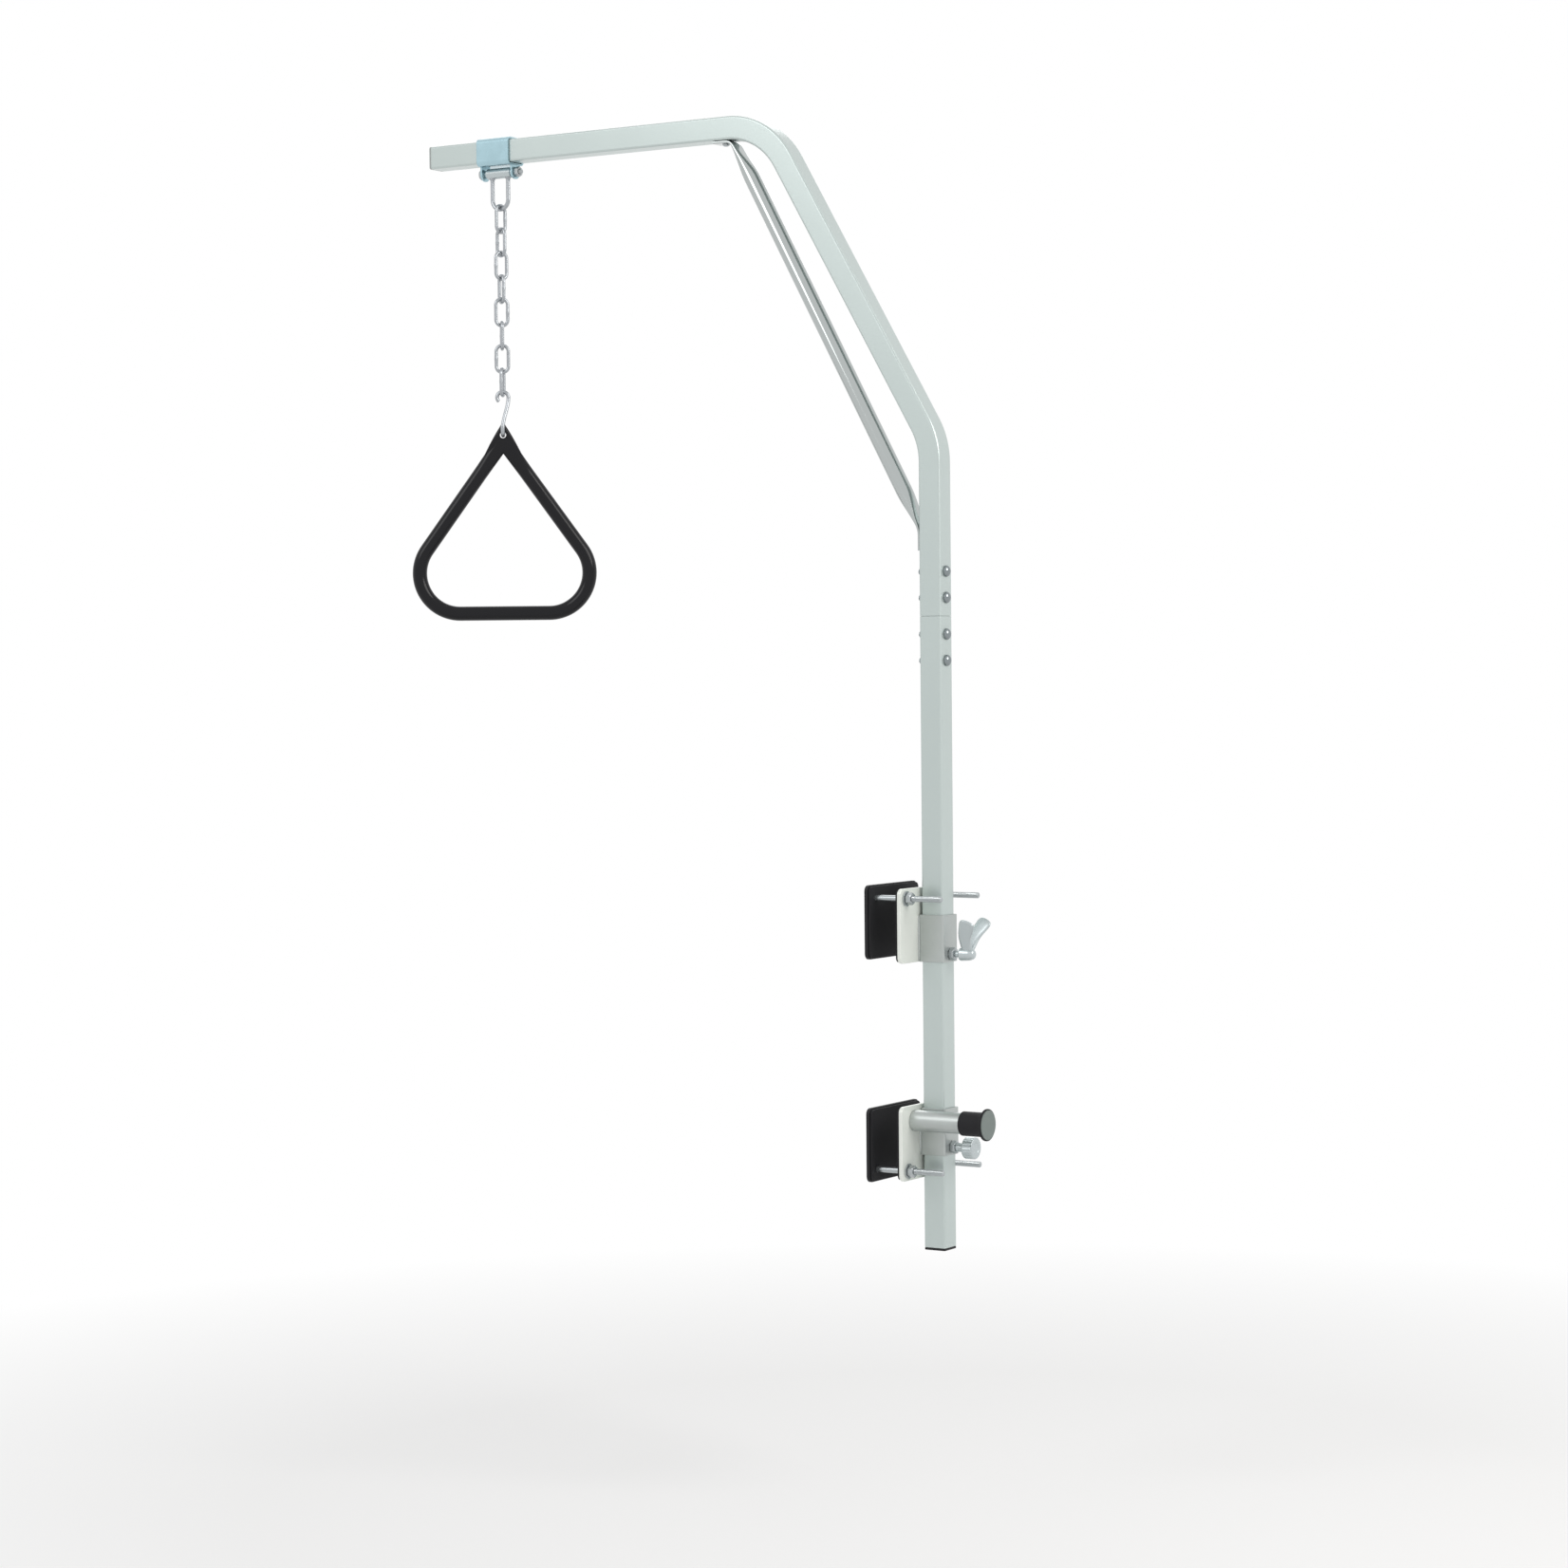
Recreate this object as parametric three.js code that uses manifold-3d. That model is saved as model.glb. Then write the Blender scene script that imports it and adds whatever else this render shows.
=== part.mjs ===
// Bed trapeze: a bent square-tube mast in two bars, held by two clamp brackets, with a
// sliding carrier on its arm that hangs a chain and a triangular grab handle.
// Millimetres, +Z up. The origin is the centre of the upper bracket's gripping face. The
// brackets grip a panel that lies at -X of that face, the mast stands at +X of it, and the
// arm reaches along -X over the panel.
import * as THREE from 'three';
import { mergeVertices } from 'three/addons/utils/BufferGeometryUtils.js';
import Module from 'manifold-3d';

const wasm = await Module();
wasm.setup();

// Clearances
const seatGap = 0.3;
const boltClearance = 0.4;
const cutOverrun = 1;

// Square tube of the two bars
const tubeSize = 31.75;
const tubeWall = 1.65;
const tubeCornerRadius = 3;
const bendRadius = 101.6;

// Shape of the bars. The seam's height is above the foot of the mast, the lower bend stands
// above the foot of the brace, and that above the topmost splice bolt. The diagonal's rise is
// between the centre lines of both bends, and the arm reaches from the mast's axis.
const seamHeight = 836;
const kneeAboveBraceFoot = 115;
const diagonalRise = 435;
const diagonalLean = THREE.MathUtils.degToRad(30);
const armReach = 812;

// Splice between the bars
const spliceInsertHalfLength = 82;
const spliceInsertWall = 2.5;
const spliceBoltDiameter = 6.35;
const spliceBoltOffsets = [24, 58.5];
const spliceHeadDiameter = 15;
const spliceHeadHeight = 6;
const spliceHeadShares = [[0.5, 0.92], [0.85, 0.6]];
const spliceNutAcrossFlats = 11.1;
const spliceNutHeight = 5.6;
const spliceThreadProud = 2;

// Push-in end plugs
const plugFlangeThickness = 3;
const plugDepth = 18;
const plugWall = 2.5;

// Brace between arm and mast: a round tube with flattened ends
const braceDiameter = 22.2;
const braceWall = 1.5;
const braceFootAboveSplice = 55.5;
const braceHeadPastDiagonal = 54.9;
const braceTabLength = 28;
const braceFlare = 60;
const braceSlit = 0.6;
const braceTabWidth = 25;
const braceScrewDiameter = 5;
const braceScrewHeadDiameter = 10;
const braceScrewHeadHeight = 3;
const braceScrewReach = 6;
const braceRoundnessShares = [0, 0, 0.6, 1, 1, 0.6, 0, 0];

// Clamp plates and pads
const plateWidth = 132;
const plateHeight = 98;
const plateThickness = 5;
const plateCornerRadius = 8;
const padThickness = 3;
const padInset = 2;
const backPlateShift = 4;
const panelThickness = 38;
const upperBracketHeight = 430;
const lowerBracketHeight = 144;

// Carriage bolts through the plates
const clampBoltDiameter = 8;
const clampBoltLength = 108;
const clampBoltOffset = 50;
const clampBoltEdge = 13;
const clampHeadDiameter = 19;
const clampHeadHeight = 4.6;
const clampHeadShares = [[0.33, 0.95], [0.85, 0.6]];
const clampNutAcrossFlats = 14.3;
const clampNutHeight = 8;
const washerDiameter = 20;
const washerThickness = 1.6;

// Sleeves that guide the mast
const sleeveSize = 38.1;
const sleeveHeight = 62;
const sleeveClearance = 0.35;
const lowerSleeveDrop = 5;
const sleeveScrewHeight = 10.5;

// Screws that lock the mast in the sleeves
const weldNutAcrossFlats = 15;
const weldNutHeight = 7;
const lockScrewDiameter = 8;
const wingStandOff = 7;
const wingHubDiameter = 18;
const wingHubLength = 21;
const wingHubShares = [[0.7, 0.9], [1, 0.6]];
const wingEarLength = 54;
const wingEarWidth = 23;
const wingEarNeckShare = 0.55;
const wingEarThickness = 4;
const wingEarRootShare = 0.3;
const wingEarCornerShare = 0.4;
const wingEarSpread = THREE.MathUtils.degToRad(31);
const wingEarFlare = THREE.MathUtils.degToRad(16);
const knobNeckDiameter = 12;
const knobNeckLength = 13;
const knobDiameter = 29;
const knobLength = 15;
const knobEdgeShare = 0.12;

// Wall bumper on the lower bracket
const bumperTubeDiameter = 28;
const bumperTubeWall = 1.65;
const bumperDrop = 20;
const bumperReach = 92;
const bumperTipDiameter = 42;
const bumperTipNeck = 32;
const bumperTipLength = 37;
const bumperTipFlare = 11;
const bumperTipRim = 3;
const bumperTipFace = 8;
const bumperPadDiameter = 39;
const bumperPadThickness = 4;
const bumperPadProud = 1;

// Sliding carrier on the arm
const carrierFromArmTip = 113;
const collarLength = 55;
const collarWall = 3;
const collarClearance = 0.5;
const lugThickness = 3;
const lugWidth = 20;
const carrierPinDrop = 13;
const carrierPinDiameter = 7.9;
const carrierHeadAcrossFlats = 12.7;
const carrierHeadHeight = 5.3;
const carrierNutHeight = 6.7;
const carrierThreadProud = 3;

// Hanger that swings on the carrier's bolt
const barrelDiameter = 15;
const barrelShoulderDiameter = 11;
const barrelBodyLength = 41;
const loopWire = 6;
const loopSpan = 27;
const loopDrop = 50.8;

// Chain
const linkCount = 8;
const linkWire = 4.9;
const linkLength = 42.9;
const linkWidth = 22;
const linkTwist = THREE.MathUtils.degToRad(-8.3);

// Hook between chain and handle, and the turn of hook and handle about the vertical
const hookWire = 5.5;
const hookLength = 62;
const hookUpperRadius = 8;
const hookLowerRadius = 9;
const hookUpperWrap = THREE.MathUtils.degToRad(50);
const hookLowerWrap = THREE.MathUtils.degToRad(20);
const handleTurn = THREE.MathUtils.degToRad(31.8);

// Grab handle: a triangle of coated round rod with a flattened, drilled tip
const handleRod = 21;
const handleHalfAngle = THREE.MathUtils.degToRad(35.5);
const handleHeight = 243.6;
const handleCornerRadius = 57;
const handleTipRise = 25;
const handleTipThickness = 9;
const handleTipShoulder = 20;
const handleTipBelly = 14.4;
const handleTipBellyRise = 6;
const handleTipBluntness = 1.5;
const handleFlatStart = 3;
const handleHoleDiameter = 9;
const handleHoleRise = 8;

// Steps of round stretches
const roundSides = 16;
const wireSides = 8;
const rodSides = 14;
const cornerSteps = 2;
const bendStepAngle = THREE.MathUtils.degToRad(8);
const wireStepAngle = THREE.MathUtils.degToRad(30);
const loopStepAngle = THREE.MathUtils.degToRad(20);
const handleStepAngle = THREE.MathUtils.degToRad(14);
const tipSegments = 6;

// Sizes and places worked out from the ones above
const plateOuterX = padThickness + seatGap + plateThickness;
const mastX = plateOuterX + seatGap + sleeveSize / 2;
const tubeHalf = tubeSize / 2;
const tubeBore = tubeSize - 2 * tubeWall;
const sleeveBore = tubeSize + 2 * sleeveClearance;
const armTipX = plugFlangeThickness + seatGap - armReach;
const carrierReach = armReach - carrierFromArmTip;
const braceFootHeight = seamHeight + Math.max(...spliceBoltOffsets) + braceFootAboveSplice;
const mastKneeHeight = braceFootHeight + kneeAboveBraceFoot;
const armHeight = mastKneeHeight + diagonalRise;
const diagonalRun = diagonalRise * Math.tan(diagonalLean);
const braceHeadReach = diagonalRun + braceHeadPastDiagonal;
const braceTabThickness = 2 * braceWall + braceSlit;
const braceFootScrewHeight = braceFootHeight - braceTabLength / 2;
const braceHeadScrewX = -braceHeadReach - braceTabLength / 2;
const linkPitch = linkLength - 2 * linkWire - seatGap;

const finishes = {
  satinZinc: { color: new THREE.Color(0.68, 0.72, 0.70), roughness: 0.35, metalness: 0.9 },
  brightZinc: { color: new THREE.Color(0.72, 0.74, 0.75), roughness: 0.3, metalness: 0.9 },
  blueZinc: { color: new THREE.Color(0.5, 0.6, 0.63), roughness: 0.35, metalness: 0.9 },
  chrome: { color: new THREE.Color(0.8, 0.8, 0.8), roughness: 0.12, metalness: 1.0 },
  blackSteel: { color: new THREE.Color(0.04, 0.04, 0.04), roughness: 0.5, metalness: 0.2 },
  blackRubber: { color: new THREE.Color(0.03, 0.03, 0.03), roughness: 0.8, metalness: 0.0 },
  greyPlastic: { color: new THREE.Color(0.45, 0.48, 0.48), roughness: 0.6, metalness: 0.0 },
  blackPlastic: { color: new THREE.Color(0.03, 0.03, 0.03), roughness: 0.5, metalness: 0.0 },
  greyRubber: { color: new THREE.Color(0.55, 0.58, 0.55), roughness: 0.8, metalness: 0.0 },
  blackVinyl: { color: new THREE.Color(0.015, 0.015, 0.017), roughness: 0.25, metalness: 0.0 },
};

// A named piece with its own material
function piece(name, geometry, finish, parent) {
  const mesh = new THREE.Mesh(geometry, new THREE.MeshStandardMaterial(finishes[finish]));
  mesh.name = name;
  parent.add(mesh);
  return mesh;
}

// A group placed at a point of its parent
function groupAt(parent, x, y, z) {
  const group = new THREE.Group();
  group.position.set(x, y, z);
  parent.add(group);
  return group;
}

// Solid joins and cuts
function toSolid(geometry) {
  const bare = geometry.clone();
  bare.deleteAttribute('normal');
  bare.deleteAttribute('uv');
  const merged = mergeVertices(bare, 1e-4);
  return new wasm.Manifold(new wasm.Mesh({
    numProp: 3,
    vertProperties: new Float32Array(merged.attributes.position.array),
    triVerts: new Uint32Array(merged.index.array),
  }));
}

function fromSolid(solid) {
  const mesh = solid.getMesh();
  const geometry = new THREE.BufferGeometry();
  geometry.setAttribute('position', new THREE.BufferAttribute(mesh.vertProperties, 3));
  geometry.setIndex(new THREE.BufferAttribute(mesh.triVerts, 1));
  geometry.computeVertexNormals();
  return geometry;
}

function cut(geometry, ...tools) {
  let solid = toSolid(geometry);
  for (const tool of tools) {
    solid = solid.subtract(toSolid(tool));
  }
  return fromSolid(solid);
}

function join(geometry, ...others) {
  let solid = toSolid(geometry);
  for (const other of others) {
    solid = solid.add(toSolid(other));
  }
  return fromSolid(solid);
}

// Flat outlines, as closed rings of points
function circleOutline(radius, sides) {
  const points = [];
  for (let i = 0; i < sides; i += 1) {
    const angle = i * 2 * Math.PI / sides;
    points.push(new THREE.Vector2(radius * Math.cos(angle), radius * Math.sin(angle)));
  }
  return points;
}

function boxOutline(width, height, radius) {
  const points = [];
  const corners = [[1, 1, 0], [-1, 1, 1], [-1, -1, 2], [1, -1, 3]];
  for (const [sx, sy, quarter] of corners) {
    for (let i = 0; i <= cornerSteps; i += 1) {
      const angle = (quarter + i / cornerSteps) * Math.PI / 2;
      const x = sx * (width / 2 - radius) + radius * Math.cos(angle);
      const y = sy * (height / 2 - radius) + radius * Math.sin(angle);
      points.push(new THREE.Vector2(x, y));
    }
  }
  return points;
}

function hexOutline(acrossFlats) {
  const points = [];
  for (let i = 0; i < 6; i += 1) {
    const angle = i * Math.PI / 3;
    const radius = acrossFlats / Math.sqrt(3);
    points.push(new THREE.Vector2(radius * Math.cos(angle), radius * Math.sin(angle)));
  }
  return points;
}

// An outline with optional holes, thickened along its normal
function slab(outline, depth, holes = []) {
  const shape = new THREE.Shape(outline);
  for (const hole of holes) {
    shape.holes.push(new THREE.Path(hole));
  }
  return new THREE.ExtrudeGeometry(shape, { depth, bevelEnabled: false });
}

function shifted(outline, x, y) {
  return outline.map((point) => new THREE.Vector2(point.x + x, point.y + y));
}

// Turns a slab drawn in (y, z) so that its thickness runs along +X from x
function facingX(geometry, x) {
  const basis = new THREE.Matrix4().makeBasis(
    new THREE.Vector3(0, 1, 0), new THREE.Vector3(0, 0, 1), new THREE.Vector3(1, 0, 0));
  return geometry.applyMatrix4(basis).translate(x, 0, 0);
}

// Turns a slab drawn in (x, z) so that it is centred on the plane y = 0
function facingY(geometry, depth) {
  const basis = new THREE.Matrix4().makeBasis(
    new THREE.Vector3(1, 0, 0), new THREE.Vector3(0, 0, 1), new THREE.Vector3(0, -1, 0));
  return geometry.applyMatrix4(basis).translate(0, depth / 2, 0);
}

// Round bars along the axes
function barX(diameter, x0, x1, sides = roundSides) {
  return facingX(slab(circleOutline(diameter / 2, sides), x1 - x0), x0);
}

function barZ(diameter, z0, z1, sides = roundSides) {
  return slab(circleOutline(diameter / 2, sides), z1 - z0).translate(0, 0, z0);
}

// A turned piece about the X axis, from a profile of (x, radius) points
function turnedX(profile, sides = roundSides) {
  const points = profile.map(([x, radius]) => new THREE.Vector2(radius, x));
  return new THREE.LatheGeometry(points, sides).rotateZ(-Math.PI / 2);
}

// Profile points of a domed head that rises from x by the height, which may be negative
function domed(x, height, radius, shares) {
  return shares.map(([rise, width]) => [x + rise * height, width * radius]);
}

// A path in a plane, walked from a start point by straight moves and turns. Each place on it
// holds its point, its heading and how far a mitred section stretches there.
function walk(x, y, heading, moves) {
  const places = [{ x, y, heading, stretch: 1 }];
  let at = { x, y, heading };
  for (const move of moves) {
    if (move.face !== undefined) {
      at = { ...at, heading: move.face };
    } else if (move.ahead !== undefined) {
      at = {
        x: at.x + move.ahead * Math.cos(at.heading),
        y: at.y + move.ahead * Math.sin(at.heading),
        heading: at.heading,
      };
      places.push({ ...at, stretch: 1 });
    } else {
      const steps = Math.ceil(Math.abs(move.turn) / move.step);
      const side = Math.sign(move.turn);
      const centreX = at.x - side * move.radius * Math.sin(at.heading);
      const centreY = at.y + side * move.radius * Math.cos(at.heading);
      const start = at.heading;
      for (let i = 1; i <= steps; i += 1) {
        const angle = start + move.turn * i / steps;
        at = {
          x: centreX + side * move.radius * Math.sin(angle),
          y: centreY - side * move.radius * Math.cos(angle),
          heading: angle,
        };
        places.push({ ...at, stretch: 1 });
      }
    }
  }
  return places;
}

// Sections along a planar path in the X-Z plane: one ring of points for each place
function ringsAlong(places, outline) {
  return places.map((place) => outline.map((point) => {
    const across = point.y * place.stretch;
    return new THREE.Vector3(
      place.x - across * Math.sin(place.heading),
      point.x,
      place.y + across * Math.cos(place.heading),
    );
  }));
}

// Skins rings of points into one closed body. Inner rings give it a bore, and a looped row of
// rings has no ends.
function skin(rings, innerRings = null, looped = false) {
  const positions = [];
  const indices = [];
  const rowCount = rings.length;
  const addRows = (rows, inward) => {
    const base = positions.length / 3;
    const sides = rows[0].length;
    for (const row of rows) {
      for (const point of row) {
        positions.push(point.x, point.y, point.z);
      }
    }
    const bands = looped ? rowCount : rowCount - 1;
    for (let i = 0; i < bands; i += 1) {
      for (let j = 0; j < sides; j += 1) {
        const a = base + i * sides + j;
        const b = base + i * sides + (j + 1) % sides;
        const c = base + ((i + 1) % rowCount) * sides + (j + 1) % sides;
        const d = base + ((i + 1) % rowCount) * sides + j;
        if (inward) {
          indices.push(a, c, b, a, d, c);
        } else {
          indices.push(a, b, c, a, c, d);
        }
      }
    }
    return base;
  };
  const outerBase = addRows(rings, false);
  const innerBase = innerRings ? addRows(innerRings, true) : null;
  const addCap = (row, forward) => {
    const sides = rings[0].length;
    const innerSides = innerRings ? innerRings[0].length : 0;
    const corner = (index) => (index < sides
      ? outerBase + row * sides + index
      : innerBase + row * innerSides + index - sides);
    const origin = rings[row][0];
    const along = new THREE.Vector3().subVectors(rings[row][1], origin).normalize();
    const normal = new THREE.Vector3();
    for (let j = 0; j < sides; j += 1) {
      normal.add(new THREE.Vector3().crossVectors(rings[row][j], rings[row][(j + 1) % sides]));
    }
    normal.normalize();
    const across = new THREE.Vector3().crossVectors(normal, along);
    const flat = (points) => points.map((point) => {
      const offset = new THREE.Vector3().subVectors(point, origin);
      return new THREE.Vector2(offset.dot(along), offset.dot(across));
    });
    const holes = innerRings ? [flat(innerRings[row])] : [];
    for (const [a, b, c] of THREE.ShapeUtils.triangulateShape(flat(rings[row]), holes)) {
      if (forward) {
        indices.push(corner(a), corner(b), corner(c));
      } else {
        indices.push(corner(a), corner(c), corner(b));
      }
    }
  };
  if (!looped) {
    addCap(0, false);
    addCap(rowCount - 1, true);
  }
  const geometry = new THREE.BufferGeometry();
  geometry.setAttribute('position', new THREE.Float32BufferAttribute(positions, 3));
  geometry.setIndex(indices);
  geometry.computeVertexNormals();
  return geometry;
}

const trapeze = new THREE.Group();
trapeze.name = 'bed_trapeze';
const mast = groupAt(trapeze, mastX, 0, -upperBracketHeight);

// Mast and arm

// The centre line of the upper bar, from the seam to the tip of the arm
function upperBarPath() {
  const up = Math.PI / 2;
  const armTurn = Math.PI / 2 - diagonalLean;
  const kneeTangent = bendRadius * Math.tan(diagonalLean / 2);
  const armTangent = bendRadius * Math.tan(armTurn / 2);
  const diagonal = diagonalRise / Math.cos(diagonalLean);
  return walk(0, seamHeight, up, [
    { ahead: mastKneeHeight - seamHeight - kneeTangent },
    { turn: diagonalLean, radius: bendRadius, step: bendStepAngle },
    { ahead: diagonal - kneeTangent - armTangent },
    { turn: armTurn, radius: bendRadius, step: bendStepAngle },
    { ahead: -armTipX - diagonalRun - armTangent },
  ]);
}

function spliceBoltHeights() {
  const heights = [];
  for (const offset of spliceBoltOffsets) {
    heights.push(seamHeight + offset, seamHeight - offset);
  }
  return heights.sort((a, b) => b - a);
}

function spliceHoles() {
  const reach = tubeHalf + cutOverrun;
  const diameter = spliceBoltDiameter + 2 * boltClearance;
  return spliceBoltHeights().map((z) => barX(diameter, -reach, reach).translate(0, 0, z));
}

// Outline and bore of the square tube
const tubeOutline = boxOutline(tubeSize, tubeSize, tubeCornerRadius);
const tubeInnerRadius = tubeCornerRadius - tubeWall;
const tubeBoreOutline = boxOutline(tubeBore, tubeBore, tubeInnerRadius);

function braceScrewHoles() {
  const diameter = braceScrewDiameter + 2 * boltClearance;
  const foot = barX(diameter, -tubeHalf - cutOverrun, 0).translate(0, 0, braceFootScrewHeight);
  const head = barZ(diameter, armHeight - tubeHalf - cutOverrun, armHeight);
  return [foot, head.translate(braceHeadScrewX, 0, 0)];
}

function makeUpperBar() {
  const places = upperBarPath();
  const bar = skin(ringsAlong(places, tubeOutline), ringsAlong(places, tubeBoreOutline));
  const geometry = cut(bar, ...spliceHoles(), ...braceScrewHoles());
  piece('upper_bar', geometry, 'satinZinc', mast);
}

function makeLowerBar() {
  const bottom = plugFlangeThickness + seatGap;
  const bar = slab(tubeOutline, seamHeight - seatGap - bottom, [tubeBoreOutline]);
  piece('lower_bar', cut(bar.translate(0, 0, bottom), ...spliceHoles()), 'satinZinc', mast);
}

function makeSplice() {
  const outer = tubeBore - 2 * seatGap;
  const inner = outer - 2 * spliceInsertWall;
  const outline = boxOutline(outer, outer, tubeInnerRadius);
  const bore = boxOutline(inner, inner, tubeInnerRadius);
  const insert = slab(outline, 2 * spliceInsertHalfLength, [bore]);
  const bottom = seamHeight - spliceInsertHalfLength;
  const geometry = cut(insert.translate(0, 0, bottom), ...spliceHoles());
  piece('splice_insert', geometry, 'brightZinc', mast);
  spliceBoltHeights().forEach((z, index) => {
    const seat = tubeHalf + seatGap;
    const shank = spliceBoltDiameter / 2;
    const head = spliceHeadDiameter / 2;
    const end = -seat - spliceNutHeight - spliceThreadProud;
    const bolt = turnedX([
      [end, 0], [end, shank], [seat, shank], [seat, head],
      ...domed(seat, spliceHeadHeight, head, spliceHeadShares),
      [seat + spliceHeadHeight, 0],
    ]);
    piece(`splice_bolt_${index + 1}`, bolt.translate(0, 0, z), 'chrome', mast);
    const bore = circleOutline(shank + seatGap, roundSides);
    const nut = slab(hexOutline(spliceNutAcrossFlats), spliceNutHeight, [bore]);
    const placed = facingX(nut, -seat - spliceNutHeight).translate(0, 0, z);
    piece(`splice_nut_${index + 1}`, placed, 'chrome', mast);
  });
}

// A square end plug with its flange at z = 0 to the flange thickness, and a hollow spigot above
function plugGeometry() {
  const outer = tubeBore - 2 * seatGap;
  const inner = outer - 2 * plugWall;
  const flange = slab(tubeOutline, plugFlangeThickness);
  const spigotOutline = boxOutline(outer, outer, tubeInnerRadius);
  const spigot = slab(spigotOutline, plugFlangeThickness + plugDepth);
  const pocket = slab(boxOutline(inner, inner, tubeInnerRadius), plugDepth + cutOverrun);
  return cut(join(flange, spigot), pocket.translate(0, 0, plugFlangeThickness));
}

function makePlugs() {
  piece('mast_end_plug', plugGeometry(), 'blackPlastic', mast);
  const armPlug = plugGeometry().rotateY(Math.PI / 2).translate(-armReach, 0, armHeight);
  piece('arm_end_plug', armPlug, 'greyPlastic', mast);
}

// The brace's centre line runs down the mast's inner face, up the lean, and along under the arm
function bracePlaces() {
  const footX = -tubeHalf - seatGap - braceTabThickness / 2;
  const headZ = armHeight - tubeHalf - seatGap - braceTabThickness / 2;
  const lean = Math.atan2(braceHeadReach + footX, headZ - braceFootHeight);
  const length = (headZ - braceFootHeight) / Math.cos(lean);
  const up = Math.PI / 2;
  const straight = length - 2 * braceFlare;
  return {
    places: walk(footX, braceFootHeight - braceTabLength, up, [
      { ahead: braceTabLength },
      { face: up + lean },
      { ahead: braceFlare / 2 },
      { ahead: braceFlare / 2 },
      { ahead: straight },
      { ahead: braceFlare / 2 },
      { ahead: braceFlare / 2 },
      { face: Math.PI },
      { ahead: braceTabLength },
    ]),
    bendHeadings: { foot: up + lean / 2, head: (up + lean + Math.PI) / 2 },
  };
}

function makeBrace() {
  const { places, bendHeadings } = bracePlaces();
  places[1].heading = bendHeadings.foot;
  places[places.length - 2].heading = bendHeadings.head;
  const ringsOf = (inset) => places.map((place, index) => {
    const share = braceRoundnessShares[index];
    const thick = THREE.MathUtils.lerp(braceTabThickness, braceDiameter, share) - 2 * inset;
    const wide = THREE.MathUtils.lerp(braceTabWidth, braceDiameter, share) - 2 * inset;
    const outline = circleOutline(1 / 2, roundSides);
    return ringsAlong([place], outline.map((point) => new THREE.Vector2(
      point.x * wide, point.y * thick)))[0];
  });
  const tube = skin(ringsOf(0), ringsOf(braceWall));
  const holeDiameter = braceScrewDiameter + 2 * boltClearance;
  const footHole = barX(holeDiameter, -2 * tubeSize, 0).translate(0, 0, braceFootScrewHeight);
  const headHole = barZ(holeDiameter, armHeight - 2 * tubeSize, armHeight);
  const geometry = cut(tube, footHole, headHole.translate(braceHeadScrewX, 0, 0));
  piece('brace_tube', geometry, 'chrome', mast);
  const seat = tubeHalf + 2 * seatGap + braceTabThickness;
  const profile = [
    [-seat - braceScrewHeadHeight, 0], [-seat - braceScrewHeadHeight, braceScrewHeadDiameter / 4],
    [-seat - braceScrewHeadHeight / 2, braceScrewHeadDiameter / 2],
    [-seat, braceScrewHeadDiameter / 2], [-seat, braceScrewDiameter / 2],
    [-seat + braceTabThickness + braceScrewReach, braceScrewDiameter / 2],
    [-seat + braceTabThickness + braceScrewReach, 0],
  ];
  const foot = turnedX(profile).translate(0, 0, braceFootScrewHeight);
  piece('brace_foot_screw', foot, 'brightZinc', mast);
  const head = turnedX(profile).rotateY(-Math.PI / 2).translate(braceHeadScrewX, 0, armHeight);
  piece('brace_head_screw', head, 'brightZinc', mast);
}

// Clamp brackets

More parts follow.
